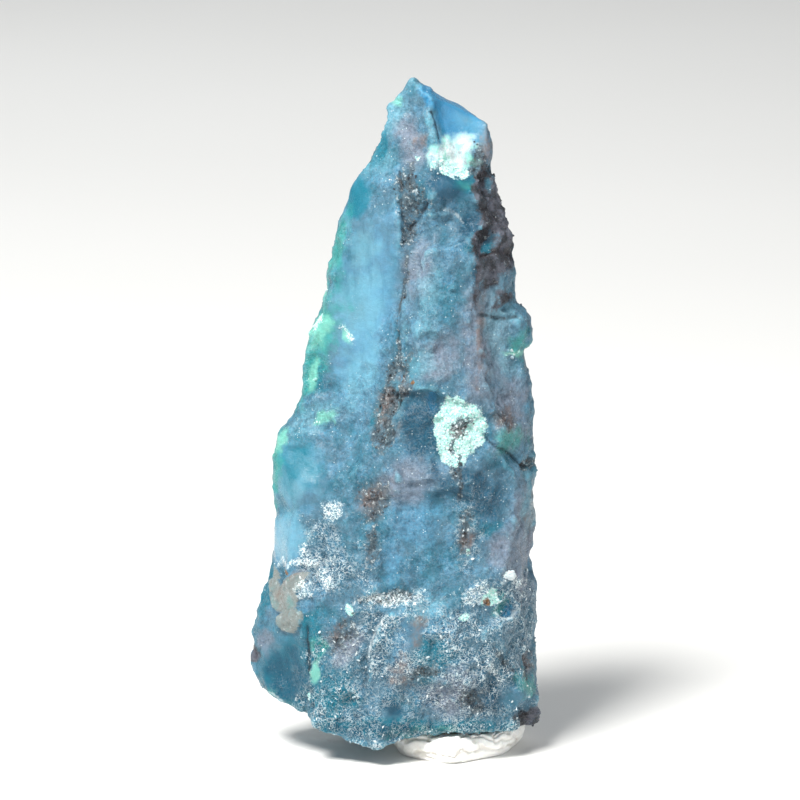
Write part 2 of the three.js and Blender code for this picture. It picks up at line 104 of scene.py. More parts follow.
MARK_ROWS = {
    "smooth": {
        "scoop at the top": (3.9, 38.2, 3.4, 4.6, -30, 0.3, 0.1),
        "left band": (-2.0, 27.5, 4.0, 11.0, 14, 0.5, 0.6),
        "gloss patch": (-6.5, 12.6, 2.4, 3.4, 6, 0.4, 0.2),
        "lobe": (-5.8, 16.4, 3.4, 5.2, 4, 0.6, 0.5),
        "foot flake": (-6.8, 4.6, 3.2, 5.0, 10, 0.4, 0.3),
        "under the scoop": (3.6, 34.1, 2.8, 1.9, 6, 0.5, 0.2),
        "deep spot": (-2.25, 33.4, 1.7, 3.2, 8, 0.5, 0.1),
        "strip beside the flake": (-4.75, 4.4, 0.5, 2.2, 4, 0.6, 0.3),
        "plate at the foot": (1.2, 7.2, 1.5, 2.0, 0, 1.0, 0.7),
        "foot, right": (6.7, 3.2, 1.6, 1.3, 0, 1.0, 0.6),
        "foot, low": (-0.2, 2.2, 1.1, 1.1, 0, 1.0, 0.6),
    },
    "druse": {
        "foot": (1.0, 4.4, 15.5, 9.0, 0, 0.25, 1.2),
        "beside the gloss patch": (-4.4, 11.8, 4.0, 5.2, -30, 0.5, 0.8),
        "right corner": (7.0, 7.6, 4.4, 7.0, 0, 0.5, 0.6),
        "under the rosette": (4.3, 13.6, 1.8, 6.0, 0, 1.0, 0.8),
        "centre": (-2.0, 11.6, 2.6, 3.6, 0, 1.0, 0.9),
    },
    "frost": {
        "white ledge": (-0.4, 9.05, 3.9, 1.1, -3, 0.8, 0.5),
        "high sparkle": (-3.9, 14.5, 1.1, 1.6, 30, 0.6, 0.4),
        "middle sparkle": (-5.4, 12.1, 0.8, 0.6, 30, 0.9, 0.5),
        "row over the crust": (-5.4, 11.35, 3.4, 0.55, -6, 0.8, 0.4),
        "row beside the crust": (-4.3, 10.4, 1.7, 0.7, 46, 0.7, 0.3),
        "inside the crust's bridge": (-5.3, 9.7, 1.1, 0.7, -30, 1.0, 0.5),
        "druse hollow": (4.7, 9.5, 2.4, 1.2, -24, 0.6, 0.4),
        "around the bead": (7.1, 10.1, 0.7, 0.6, 0, 1.0, 0.4),
        "left lumps": (-2.8, 25.3, 0.5, 1.2, -24, 1.0, 0.4),
        "diagonal gap": (6.1, 4.6, 0.5, 2.2, -33, 0.9, 0.4),
    },
    "mint": {
        "scoop's lip": (3.3, 35.15, 2.2, 1.0, 10, 0.5, 0.35),
        "lip's right": (4.9, 35.6, 0.7, 0.5, 0, 0.9, 0.4),
        "rosette": (3.85, 19.4, 3.1, 3.5, -10, 0.22, 0.3),
        "rosette's foot": (3.45, 17.8, 1.5, 1.7, 0, 0.3, 0.3),
        "rosette's top": (3.5, 21.0, 1.5, 1.3, 20, 0.4, 0.4),
        "speck over the strip": (-2.8, 8.4, 0.5, 0.8, -20, 0.6, 0.2),
        "strip's foot": (-5.1, 3.0, 0.3, 0.4, 0, 0.8, 0.2),
        "ring": (5.55, 9.15, 1.0, 1.4, 24, 0.4, 0.25),
        "speck": (4.1, 8.0, 0.8, 0.45, 0, 0.6, 0.2),
        "vein head speck": (1.3, 35.8, 0.4, 0.4, 0, 0.9, 0.2),
        "speck under the rosette": (4.3, 11.9, 0.3, 0.6, -8, 0.9, 0.2),
    },
    "green": {
        "left edge, high": (-3.4, 30.6, 1.2, 5.0, 15, 0.9, 0.3),
        "left lumps": (-4.6, 25.4, 2.6, 6.6, 14, 0.9, 0.6),
        "left lumps, low": (-5.4, 22.2, 1.4, 3.6, 20, 0.9, 0.4),
        "lobe's edge": (-7.1, 17.0, 0.9, 6.0, 6, 0.9, 0.3),
        "strip beside the flake": (-4.7, 6.4, 0.45, 1.8, 4, 1.0, 0.5),
        "flake's rim": (-7.2, 2.4, 3.4, 1.3, 24, 1.0, 0.4),
        "chip": (6.9, 18.6, 2.2, 1.9, -35, 1.0, 0.4),
        "teal patch": (4.1, 34.2, 1.2, 0.9, 6, 1.0, 0.15),
        "knob": (7.6, 24.6, 1.2, 2.2, 0, 1.0, 0.6),
        "druse hollow": (6.4, 8.8, 1.3, 1.1, 0, 0.9, 0.4),
        "foot, right": (7.6, 4.0, 1.3, 2.0, -20, 0.9, 0.4),
        "bottom rim": (2.6, 0.9, 7.0, 0.8, 0, 0.9, 0.3),
    },
    "jade": {
        "left lump": (-4.7, 25.4, 1.5, 2.6, 16, 0.7, 0.4),
        "left lump's tail": (-4.9, 22.8, 0.6, 2.4, 8, 0.8, 0.2),
        "left edge": (-4.2, 28.6, 0.7, 2.8, 10, 0.8, 0.2),
        "beads": (-2.8, 25.3, 0.6, 1.3, -24, 0.8, 0.3),
        "lobe's shelf": (-4.2, 20.1, 1.8, 0.7, -20, 1.0, 0.4),
        "lobe's edge": (-6.8, 18.6, 0.7, 1.8, 32, 0.9, 0.3),
        "knob's foot": (7.0, 23.9, 1.4, 0.7, 10, 1.0, 0.5),
        "scoop's lip": (4.7, 35.7, 0.7, 0.9, -20, 0.9, 0.4),
        "apex": (0.2, 39.3, 0.35, 0.7, 20, 1.0, 0.3),
        "strip beside the flake": (-4.8, 4.8, 0.4, 1.6, 6, 0.8, 0.2),
    },
    "milk": {
        "scoop's floor": (3.2, 35.85, 2.5, 1.7, 6, 0.6, 0.25),
        "scoop's corner": (2.85, 36.5, 0.8, 1.5, 8, 1.0, 0.2),
        "over the floor": (3.9, 36.8, 1.8, 1.6, -20, 1.0, 0.5),
    },
    "azure": {
        "scoop": (3.9, 38.1, 2.8, 4.0, -34, 0.4, 0.1),
        "scoop's high corner": (2.3, 39.5, 1.4, 2.8, -46, 0.5, 0.08),
        "beside the rosette": (2.2, 21.0, 0.7, 1.4, 0, 1.0, 0.3),
        "shell": (6.6, 8.5, 1.1, 1.0, 30, 0.9, 0.15),
    },
    "pale": {
        "left face, high": (-0.9, 35.6, 1.4, 2.4, 20, 0.9, 0.4),
        "apex": (0.2, 38.9, 1.4, 2.4, 20, 0.8, 0.4),
        "apex's left edge": (-0.5, 37.8, 1.0, 1.6, 20, 0.8, 0.4),
        "left band, high": (-1.8, 30.2, 2.0, 3.2, 14, 1.0, 0.5),
        "left band": (-2.2, 27.0, 3.4, 6.0, 14, 0.8, 0.5),
        "left band, low": (-2.2, 22.6, 2.6, 5.0, 14, 1.0, 0.5),
        "lobe's shelf": (-5.1, 19.9, 3.4, 1.7, -24, 0.6, 0.4),
        "lobe": (-6.0, 16.6, 2.6, 5.0, 8, 1.0, 0.5),
        "rusty stretch": (-0.3, 20.2, 1.1, 4.8, 16, 1.0, 0.5),
        "gloss patch": (-6.3, 13.0, 2.6, 3.4, 6, 0.8, 0.4),
        "over the hollow": (1.4, 23.2, 2.6, 1.6, 0, 0.9, 0.4),
        "right face, low": (6.4, 24.0, 1.8, 4.0, 0, 1.0, 0.5),
        "right edge": (7.9, 15.4, 0.8, 5.0, 0, 0.9, 0.4),
        "under the ledge": (1.8, 8.4, 2.8, 1.8, 0, 0.9, 0.4),
        "shoulder's foot": (5.2, 28.8, 2.0, 2.2, 0, 1.0, 0.5),
        "right face": (6.2, 25.4, 2.4, 6.0, 0, 1.0, 0.5),
        "beside the lower vein": (1.9, 27.0, 1.8, 5.0, 6, 1.0, 0.5),
    },
    "teal": {
        "deep spot": (-2.25, 33.4, 1.4, 2.8, 8, 0.35, 0.12),
        "teal patch": (4.1, 34.3, 1.7, 1.6, 0, 0.4, 0.15),
        "left edge": (-4.3, 30.0, 0.9, 7.0, 16, 0.9, 0.4),
        "left edge, low": (-5.0, 22.6, 2.0, 3.4, 14, 0.9, 0.4),
        "shoulder's gap": (4.9, 30.4, 2.2, 0.9, -12, 0.6, 0.3),
        "bottom rim": (1.2, 1.2, 14.0, 1.2, 0, 0.7, 0.3),
        "over the druse": (5.6, 13.4, 2.2, 0.9, 4, 0.9, 0.3),
        "lobe": (-5.8, 17.2, 3.0, 3.6, 10, 0.9, 0.4),
        "flake": (-6.4, 4.0, 4.4, 7.0, 20, 0.6, 0.4),
        "left side of the vein": (-0.9, 20.2, 0.9, 2.4, 20, 0.8, 0.3),
        "crust's left": (-7.7, 9.6, 0.9, 4.0, 12, 0.7, 0.2),
        "crust's right": (-5.2, 7.6, 1.1, 1.4, 0, 1.0, 0.6),
        "foot, left": (-3.6, 3.0, 2.6, 3.4, 30, 0.9, 0.5),
        "strip beside the flake": (-4.8, 6.2, 0.9, 4.6, 4, 0.8, 0.35),
        "foot, middle": (2.2, 5.4, 3.0, 3.4, -20, 0.9, 0.6),
        "apex's left edge": (-1.1, 36.6, 1.2, 2.4, 20, 1.0, 0.4),
    },
    # Dark blue: partly the stone's own, partly painted shade in the undercut, the hollows, under the rim
    # and the rosette, in the slit, beside the flake and along the bottom edge.
    "deep": {
        "undercut": (3.0, 34.0, 2.4, 2.0, 12, 0.5, 0.2),
        "right of the undercut": (4.7, 31.6, 2.2, 2.6, 0, 0.9, 0.4),
        "diagonal gap": (6.5, 5.0, 0.6, 3.0, -33, 0.8, 0.4),
        "flake": (-6.4, 3.9, 3.2, 5.0, 14, 1.0, 0.5),
        "hollow under the rim": (1.5, 19.4, 3.4, 4.6, 0, 0.6, 0.35),
        "below the rosette": (4.2, 16.0, 4.4, 2.0, -8, 0.7, 0.5),
        "right hollow": (5.6, 15.2, 2.0, 3.4, 14, 1.0, 0.5),
        "along the red streak": (4.7, 28.2, 0.5, 4.0, 4, 1.0, 0.3),
        "foot corner": (5.2, 3.0, 2.4, 2.2, 0, 0.9, 0.4),
        "foot, low": (-0.2, 2.3, 1.2, 1.6, 0, 1.0, 0.6),
        "teal patch": (4.1, 34.5, 1.3, 0.8, 6, 0.9, 0.15),
        "beside the flake": (-5.2, 5.9, 0.55, 3.4, 3, 1.0, 0.15),
        "slit by the rosette": (2.4, 17.0, 0.5, 1.6, -8, 0.8, 0.15),
        "bottom rim": (0.6, 1.0, 12.0, 1.0, 0, 0.9, 0.4),
    },
    "sky": {
        "left band": (-1.4, 25.6, 3.0, 12.0, 10, 0.9, 0.5),
        "gloss patch": (-6.6, 12.8, 2.4, 3.2, 6, 0.6, 0.3),
        "main hollow": (1.2, 14.0, 3.6, 4.0, 0, 1.0, 0.5),
        "foot": (2.4, 7.4, 3.6, 2.4, 0, 0.9, 0.5),
        "hollow": (-0.2, 11.6, 1.8, 3.6, 10, 0.9, 0.5),
        "right hollow": (5.6, 13.4, 1.8, 1.4, 0, 1.0, 0.5),
        "plate at the foot": (0.4, 6.6, 1.8, 3.4, 10, 0.9, 0.4),
    },
    "mauve": {
        "right face": (5.4, 24.6, 3.2, 9.4, 0, 0.9, 0.6),
        "right face, low": (6.8, 21.0, 2.4, 4.4, 0, 0.9, 0.5),
        "over the hollow": (2.6, 23.6, 3.0, 3.0, 0, 1.0, 0.5),
        "right edge": (7.5, 12.8, 1.6, 8.0, 0, 0.9, 0.4),
        "right, low": (6.4, 12.0, 3.0, 3.0, 0, 1.0, 0.5),
        "chip": (6.8, 19.2, 2.4, 2.4, -30, 1.0, 0.4),
        "main hollow": (0.8, 16.4, 4.0, 3.4, 0, 1.0, 0.5),
        "foot": (3.4, 3.6, 3.6, 3.0, 0, 1.0, 0.6),
        "brown pit": (-3.0, 6.2, 2.0, 2.6, 30, 0.8, 0.4),
        "flake's edge": (-8.0, 6.6, 1.1, 1.8, 10, 0.8, 0.4),
        "flake, high": (-7.5, 5.9, 1.5, 2.0, 10, 1.0, 0.6),
        "vein head": (1.0, 36.4, 1.8, 2.4, 0, 0.9, 0.4),
        "apex's left face": (0.9, 37.0, 1.8, 2.8, 4, 0.9, 0.5),
        "scoop's right rim": (5.2, 37.0, 1.2, 3.8, -6, 0.9, 0.4),
        "beside the lower vein": (1.4, 29.2, 2.4, 5.0, 6, 1.0, 0.5),
    },
    "vein": {
        "head": (0.9, 33.4, 1.9, 4.4, -4, 0.6, 0.6),
        "scoop's right rim": (5.1, 35.6, 1.2, 2.2, 0, 0.6, 0.5),
        "ledge": (-0.3, 9.25, 3.9, 0.9, -3, 0.7, 0.5),
        "neck": (0.9, 31.0, 1.2, 1.6, 20, 0.6, 0.4),
        "upper thread": (0.6, 27.8, 0.34, 5.4, 5, 0.8, 0.22),
        "lower thread": (0.3, 24.4, 0.5, 2.4, 8, 0.8, 0.3),
        "rusty stretch, high": (0.15, 23.2, 0.8, 2.6, 12, 0.7, 0.35),
        "rusty stretch": (-0.15, 21.3, 1.4, 2.6, 20, 0.5, 0.4),
        "stretch beside the hollow": (-0.7, 19.2, 1.3, 2.8, 14, 0.5, 0.4),
        "rusty patch": (-1.3, 15.0, 1.7, 2.2, 0, 0.8, 0.5),
        "foot of the vein": (-1.3, 12.4, 0.7, 3.0, 0, 0.8, 0.4),
        "second vein": (3.9, 16.4, 0.4, 4.0, 2, 0.7, 0.25),
        "second vein, low": (4.1, 13.0, 0.8, 3.0, 0, 0.9, 0.5),
        "rosette's heart": (3.85, 19.3, 1.4, 1.2, 0, 0.9, 0.6),
        "rosette's crack": (3.5, 18.2, 0.24, 1.8, 0, 0.9, 0.2),
        "rosette's foot": (3.5, 16.8, 0.9, 1.2, 0, 0.9, 0.5),
        "brown pit": (-3.4, 6.8, 1.5, 2.6, 32, 0.9, 0.5),
        "plate's foot": (1.7, 4.6, 1.6, 1.0, -20, 0.8, 0.4),
        "foot, right": (4.7, 2.8, 1.2, 2.4, -10, 0.9, 0.5),
        "diagonal gap": (6.4, 5.2, 0.3, 2.6, -33, 1.0, 0.4),
        "right edge": (7.9, 4.9, 0.3, 2.0, 4, 0.8, 0.2),
        "chip": (8.0, 17.3, 0.9, 0.9, 0, 0.6, 0.3),
        "brown spot": (6.3, 19.9, 1.2, 1.1, 0, 0.9, 0.4),
    },
    "ember": {
        "ring's heart": (5.55, 9.0, 0.55, 0.6, 0, 0.5, 0.2),
        "orange spot": (1.1, 22.3, 0.36, 0.32, 0, 0.8, 0.3),
        "crust's top": (-6.5, 10.65, 0.3, 0.3, 0, 0.6, 0.1),
    },
    "rust": {
        "rusty stretch": (-0.4, 20.8, 1.6, 4.6, 18, 1.0, 0.4),
        "beside the vein head": (1.2, 36.9, 0.9, 1.2, 0, 1.0, 0.4),
        "rusty patch": (-1.3, 15.2, 2.0, 2.4, 0, 0.9, 0.5),
        "red streak": (5.0, 24.8, 0.8, 6.6, 2, 0.9, 0.5),
        "brown pit": (-3.7, 7.2, 1.0, 2.2, 34, 0.9, 0.3),
        "foot of the second vein": (4.1, 12.6, 1.0, 2.0, 0, 0.9, 0.5),
        "right edge": (7.9, 4.9, 0.5, 2.4, 4, 0.9, 0.3),
        "right side": (8.1, 14.4, 0.7, 4.0, 0, 0.9, 0.3),
        "plate's seam": (1.2, 7.0, 1.0, 3.0, 12, 1.0, 0.4),
        "plate's seam, low": (0.6, 4.6, 1.4, 2.6, 20, 1.0, 0.6),
        "scoop's right rim": (5.3, 36.8, 0.9, 3.0, -6, 1.0, 0.4),
        "rosette's heart": (3.9, 19.2, 1.4, 1.3, 0, 0.9, 0.4),
        "crust's bridge": (-6.0, 10.5, 2.2, 0.5, -38, 0.9, 0.2),
        "crust's neck": (-6.8, 9.2, 0.5, 1.0, 0, 0.9, 0.2),
        "brown spot": (6.3, 19.9, 1.4, 1.4, 0, 0.9, 0.4),
    },
    "shoulder": {
        "top": (5.3, 33.2, 1.2, 3.8, -16, 0.8, 0.4),
        "middle": (6.3, 30.0, 1.7, 1.8, -10, 0.9, 0.5),
        "corner": (8.0, 1.8, 1.9, 1.6, -20, 0.4, 0.3),
        "flake's edge": (-8.6, 5.6, 0.9, 1.3, 6, 0.6, 0.2),
        "low": (6.3, 27.4, 1.2, 1.2, 0, 0.9, 0.5),
    },
    "knobbly": {
        "left lumps": (-4.2, 25.4, 3.0, 4.6, 18, 0.6, 0.4),
        "left edge": (-4.2, 30.4, 1.2, 6.0, 16, 0.8, 0.3),
        "apex": (0.8, 37.2, 3.0, 4.0, -10, 0.7, 0.4),
        "shoulder": (6.4, 28.0, 2.6, 3.8, -10, 0.7, 0.5),
        "lobe's edge": (-6.9, 18.0, 1.2, 4.0, 10, 0.8, 0.4),
        "crust": (-5.6, 10.2, 3.0, 3.0, 0, 0.7, 0.4),
    },
    "gloss": {
        "scoop": (3.9, 38.4, 3.2, 4.4, -30, 0.4, 0.2),
        "gloss patch": (-6.6, 12.4, 2.4, 3.0, 6, 0.4, 0.2),
        "crust": (-6.5, 9.0, 1.8, 3.4, -12, 0.6, 0.3),
    },
    "cream": {
        "crust's body": (-6.5, 9.1, 1.6, 1.7, 0, 0.4, 0.4),
        "crust's plate": (-6.15, 7.9, 1.3, 1.9, 0, 0.4, 0.3),
        "crust's left arm": (-7.2, 10.1, 0.45, 2.2, -6, 0.5, 0.2),
        "crust's bridge": (-5.9, 10.1, 2.0, 0.8, -38, 0.5, 0.3),
    },
}
MARKS = {kind: marks_from(rows) for kind, rows in MARK_ROWS.items()}

# Thin dark cracks, as (across, rise) paths, and the edges of thin plates. The side that is to the
# right, going along a plate's edge, stands higher by its height and levels out over its reach.
Crack = namedtuple("Crack", "path width")
CRACKS = {
    "through the rosette": Crack([(3.7, 19.0), (3.6, 18.2), (3.5, 17.4), (3.6, 16.6)], 0.06),
    "chip's rim": Crack(
        [(5.2, 19.1), (5.55, 18.64), (6.0, 18.3), (6.4, 18.2), (6.9, 17.85), (7.5, 17.25), (8.1, 17.1)], 0.1
    ),
    "round the vein's head": Crack(
        [(0.2, 35.0), (0.3, 33.4), (0.5, 32.1), (1.0, 31.65), (1.4, 32.1), (1.75, 33.0)], 0.12
    ),
    "scoop's ridge": Crack([(2.1, 38.6), (2.3, 38.0), (2.45, 36.9)], 0.08),
    "flake's groove": Crack([(-5.25, 7.4), (-5.2, 6.2), (-5.1, 5.0), (-5.15, 4.4)], 0.12),
    "shoulder's slot": Crack([(5.2, 26.3), (6.4, 26.1), (7.2, 26.3)], 0.18),
    "shoulder's pit": Crack([(5.0, 29.9), (6.2, 30.3), (7.0, 30.0)], 0.26),
}
CRACK_DEPTH = 0.2
Plate = namedtuple("Plate", "path height reach")
PLATES = {
    "plate at the foot": Plate(
        [(-1.65, 4.6), (-1.55, 5.9), (-1.25, 7.0), (-0.7, 8.0), (0.3, 8.8)], 0.42, 2.2
    ),
    "rim of the hollow": Plate([(3.2, 21.3), (1.8, 21.8), (0.8, 21.7)], 0.44, 1.8),
    "arc under the scoop": Plate([(2.2, 32.5), (3.1, 32.6), (3.8, 32.2), (4.3, 31.5)], 0.3, 1.2),
    "scoop's ridge": Plate([(1.7, 38.2), (2.3, 36.4), (2.3, 35.2)], -0.16, 0.8),
}
# Thin pale lines along the edges of plates: painted highlights where the edges catch the light.
RIM_HIGHLIGHTS = {
    "plate at the foot": [(-1.64, 5.4), (-1.46, 6.5), (-1.1, 7.5), (-0.5, 8.1)],
    "shell": [(5.95, 8.25), (6.2, 7.95), (6.55, 7.83), (6.95, 7.95), (7.2, 8.4)],
    "arc under the scoop": [(2.2, 32.65), (3.1, 32.7), (3.7, 32.3), (4.1, 31.6)],
    "flake": [(-8.7, 4.5), (-8.2, 3.4), (-7.3, 3.1), (-5.5, 1.8)],
}
RIM_WIDTH = 0.12
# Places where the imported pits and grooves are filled, nearly flush, by grains.
FLUSH = marks_from(
    {
        "vein line": (0.6, 27.0, 1.5, 7.4, 4, 0.4, 0),
        "rusty stretch": (-0.4, 21.2, 2.6, 6.4, 16, 0.4, 0),
        "vein's foot": (-1.2, 15.0, 2.2, 6.6, 2, 0.4, 0),
        "flake's groove": (-5.05, 5.2, 1.1, 6.6, 2, 0.4, 0),
        "brown pit": (-3.2, 6.8, 2.4, 3.2, 30, 0.4, 0),
        "below the hollow's rim": (1.6, 19.0, 3.8, 4.4, 0, 0.4, 0),
    }
)
# Fibres grow outwards from the middle of these mint marks.
FIBRE_MARKS = ("rosette", "rosette's foot", "rosette's top", "ring", "speck", "speck over the strip")
# The wander of each kind of mark has its own seed, this many after the one before.
SEED_STEP = 11
# The shell is a small cup with a raised lip, and the bead a round white grain. Sizes are in mm.
SHELL = {"at": (6.6, 8.45), "radius": 0.66, "depth": 0.22}
BEAD = {"at": (6.7, 10.55), "radii": (0.62, 0.36, 0.3), "sink": 0.06}

# ---- sizes of the surface

# Lumps and knobs that noise lays on a surface: their height and size in mm, a seed, and how many
# layers of finer noise they have.
Lump = namedtuple("Lump", "height size seed layers", defaults=(3,))
LUMPS = {
    "swell": Lump(0.08, 2.6, 301),
    "grit": Lump(0.03, 0.35, 303, 2),
    "knobs": Lump(0.3, 1.05, 304),
    "druse": Lump(0.14, 0.42, 305),
    "bark": Lump(0.17, 0.8, 307),
    "crust": Lump(0.1, 0.7, 308),
    "crack": Lump(0.08, 0.5, 309, 2),
    "beads": Lump(0.1, 0.7, 313),
    "white bead": Lump(0.3, 0.9, 401),
    "white bead's pits": Lump(0.45, 0.36, 402),
    "putty": Lump(0.1, 0.9, 520),
    "putty's grit": Lump(0.02, 0.25, 521, 2),
}
# Tilted chips all over the stone: their size and height in mm, and a seed.
CHIPS = ((2.1, 0.12, 310), (0.95, 0.075, 311), (0.42, 0.045, 312))
# The front ends softly where the evened surface turns away past these slopes.
FRONT_EVENING, FRONT_FADE = 36, (-0.35, 0.05)
# Shares: how much relief the smooth places lose, and how far the veins settle.
SMOOTHING, VEIN_SETTLING = 0.85, 0.7
# In mm: a bend that counts as a full hollow, walls that count as thin and thick, the sizes of the
# grain in the material, and the depths of its dents.
HOLLOW_DEPTH = 0.16
THIN_WALL, THICK_WALL = 0.6, 4.5
FINE_GRAIN, COARSE_GRAIN = 0.11, 0.3
CRYSTAL_DENT, PUTTY_DENT = 0.035, 0.03
# The putty's rounds of evening, the angle past which its edges stay, and how narrow a crease is.
PUTTY_EVENING, PUTTY_ARRIS, PUTTY_CREASE = 10, math.radians(40), 0.12
# How far in front of the stone a line of sight starts, in mm.
SIGHT_START = 40

# What is strewn over the skin: the mask that it follows, its spacing in mm, how many could stand
# on a square mm, the least and greatest size in mm, how far each is tilted, how far it is sunk in
# mm, how much it lies along the fibres' way, and a seed.
Strewn = namedtuple("Strewn", "mask spacing crowding smallest largest tilt sink lie seed")
STREWN = {
    "foot_druse": Strewn("clumps", 0.14, 32.0, 0.07, 0.26, 1.5, 0.05, 0.0, 3),
    "frost_crystals": Strewn("shreds", 0.12, 44.0, 0.06, 0.24, 1.4, 0.03, 0.0, 5),
    "vein_grains": Strewn("vein", 0.14, 30.0, 0.07, 0.22, 2.0, 0.04, 0.0, 7),
    "shoulder_grains": Strewn("shoulder", 0.3, 4.0, 0.08, 0.2, 2.0, 0.08, 0.0, 9),
    "mint_fibres": Strewn("fibres", 0.08, 150.0, 0.1, 0.26, 0.8, 0.02, 0.35, 11),
    "mint_grains": Strewn("mint", 0.16, 22.0, 0.1, 0.26, 2.0, 0.02, 0.0, 13),
}

# A crystal's finish: the colour laid over the stone's own, its share on the least and the most
# covered crystals (below 0, many stay bare), the roughness, and the share of light that scatters.
Finish = namedtuple("Finish", "colour least most roughness milk")
FINISHES = {
    "Druse crystals": Finish("frost", -2.0, 0.85, 0.25, 0.1),
    "Frost crystals": Finish("frost", 0.1, 0.95, 0.25, 0.2),
    "Vein grains": Finish("umber", -0.3, 0.9, 0.45, 0.0),
    "Mint fibres": Finish("frost", 0.0, 0.65, 0.4, 0.2),
    "White bead": Finish("frost", 0.8, 0.8, 0.35, 0.3),
}

# The stage, in metres: where the camera and lights aim, and each light's size, place and colour.
AIM = Vector((0.268, 0, 21.18)) * MM
Lamp = namedtuple("Lamp", "size at colour")
LAMPS = {
    "key": Lamp(0.1, (-0.095, -0.13, 0.265), (1, 0.985, 0.96)),
    "fill": Lamp(0.2, (0.24, -0.16, 0.12), (0.94, 0.97, 1)),
    "back": Lamp(0.2, (-0.05, 0.26, 0.2), (0.96, 0.98, 1)),
}
SURROUNDINGS = (0.96, 0.98, 1, 1)
FLOOR_REACH = 2
CLIPPING = (0.01, 10)

# ---- noise on arrays of points


def lattice(cells, seed):
    """A repeatable number from 0 to 1 for each whole-number cell."""
    x, y, z = cells.astype(np.int64).T
    mixed = (x * 374761393 + y * 668265263 + z * 1440662683 + seed * 974634777) & 0xFFFFFFFF
    mixed = ((mixed ^ (mixed >> 13)) * 1274126177) & 0xFFFFFFFF
    return ((mixed ^ (mixed >> 16)) & 0xFFFF) / 65535


def eased(share):
    """A share from 0 to 1 that starts and ends gently."""
    return share * share * (3 - 2 * share)


def ramp(values, low, high):
    """0 below low, 1 above high, smooth between."""
    return eased(np.clip((values - low) / (high - low), 0, 1))


def value_noise(points, spacing, seed):
    """Smooth noise from -1 to 1, one cell per spacing."""
    scaled = points / spacing
    cell = np.floor(scaled)
    ease = eased(scaled - cell)
    total = np.zeros(len(points))
    for corner in np.ndindex(2, 2, 2):
        step = np.array(corner)
        total += np.prod(np.where(step > 0, ease, 1 - ease), axis=1) * lattice(cell + step, seed)
    return total * 2 - 1


def layered_noise(points, spacing, seed, layers=3):
    """Noise with finer and weaker layers on it, from about -1 to 1."""
    strengths = [0.5**layer for layer in range(layers)]
    turned = points @ np.array([[0.8, 0.6, 0], [-0.6, 0.8, 0], [0, 0, 1]])
    total = np.zeros(len(points))
    for layer, strength in enumerate(strengths):
        source = points if layer % 2 else turned
        total += strength * value_noise(source, spacing / 2**layer, seed + layer)
    return total / sum(strengths) * 1.5


def cell_noise(points, spacing, seed):
    """Distance to the nearest of scattered seeds, 0 at a seed and about 1 far from all."""
    scaled = points / spacing
    cell = np.floor(scaled)
    nearest = np.full(len(points), 9.0)
    for corner in np.ndindex(3, 3, 3):
        near = cell + np.array(corner) - 1
        spot = near + np.stack([lattice(near, seed + k) for k in (0, 7, 13)], axis=1)
        nearest = np.minimum(nearest, np.linalg.norm(scaled - spot, axis=1))
    return nearest


def chip_noise(points, spacing, seed, sharpness=9):
    """Flat chips at random tilts that meet in short steps, from about -1 to 1."""
    scaled = points / spacing
    cell = np.floor(scaled)
    total = np.zeros(len(points))
    weights = np.zeros(len(points))
    for corner in np.ndindex(3, 3, 3):
        near = cell + np.array(corner) - 1
        draws = [lattice(near, seed + k) * 2 - 1 for k in range(7)]
        away = scaled - near - np.stack(draws[:3], axis=1) / 2 - 0.5
        weight = np.exp(-sharpness * np.sum(away * away, axis=1))
        tilt = np.sum(away * np.stack(draws[3:6], axis=1), axis=1)
        total += weight * (2 * tilt + 0.5 * draws[6])
        weights += weight
    return total / (weights + 1e-12)


def lumps(points, name):
    """Soft lumps, as high and as wide as their row says."""
    lump = LUMPS[name]
    return lump.height * layered_noise(points, lump.size, lump.seed, lump.layers)


def knobs(points, name, level=0.5):
    """Round knobs with creases between them. The level says where they are neither up nor down."""
    knob = LUMPS[name]
    return knob.height * (level - cell_noise(points, knob.size, knob.seed))


def unit(vectors, floor=0.0):
    """Rows brought to length 1. A floor keeps rows of no length from dividing by nothing."""
    return vectors / (np.linalg.norm(vectors, axis=1)[:, None] + floor)


# ---- a mesh as arrays


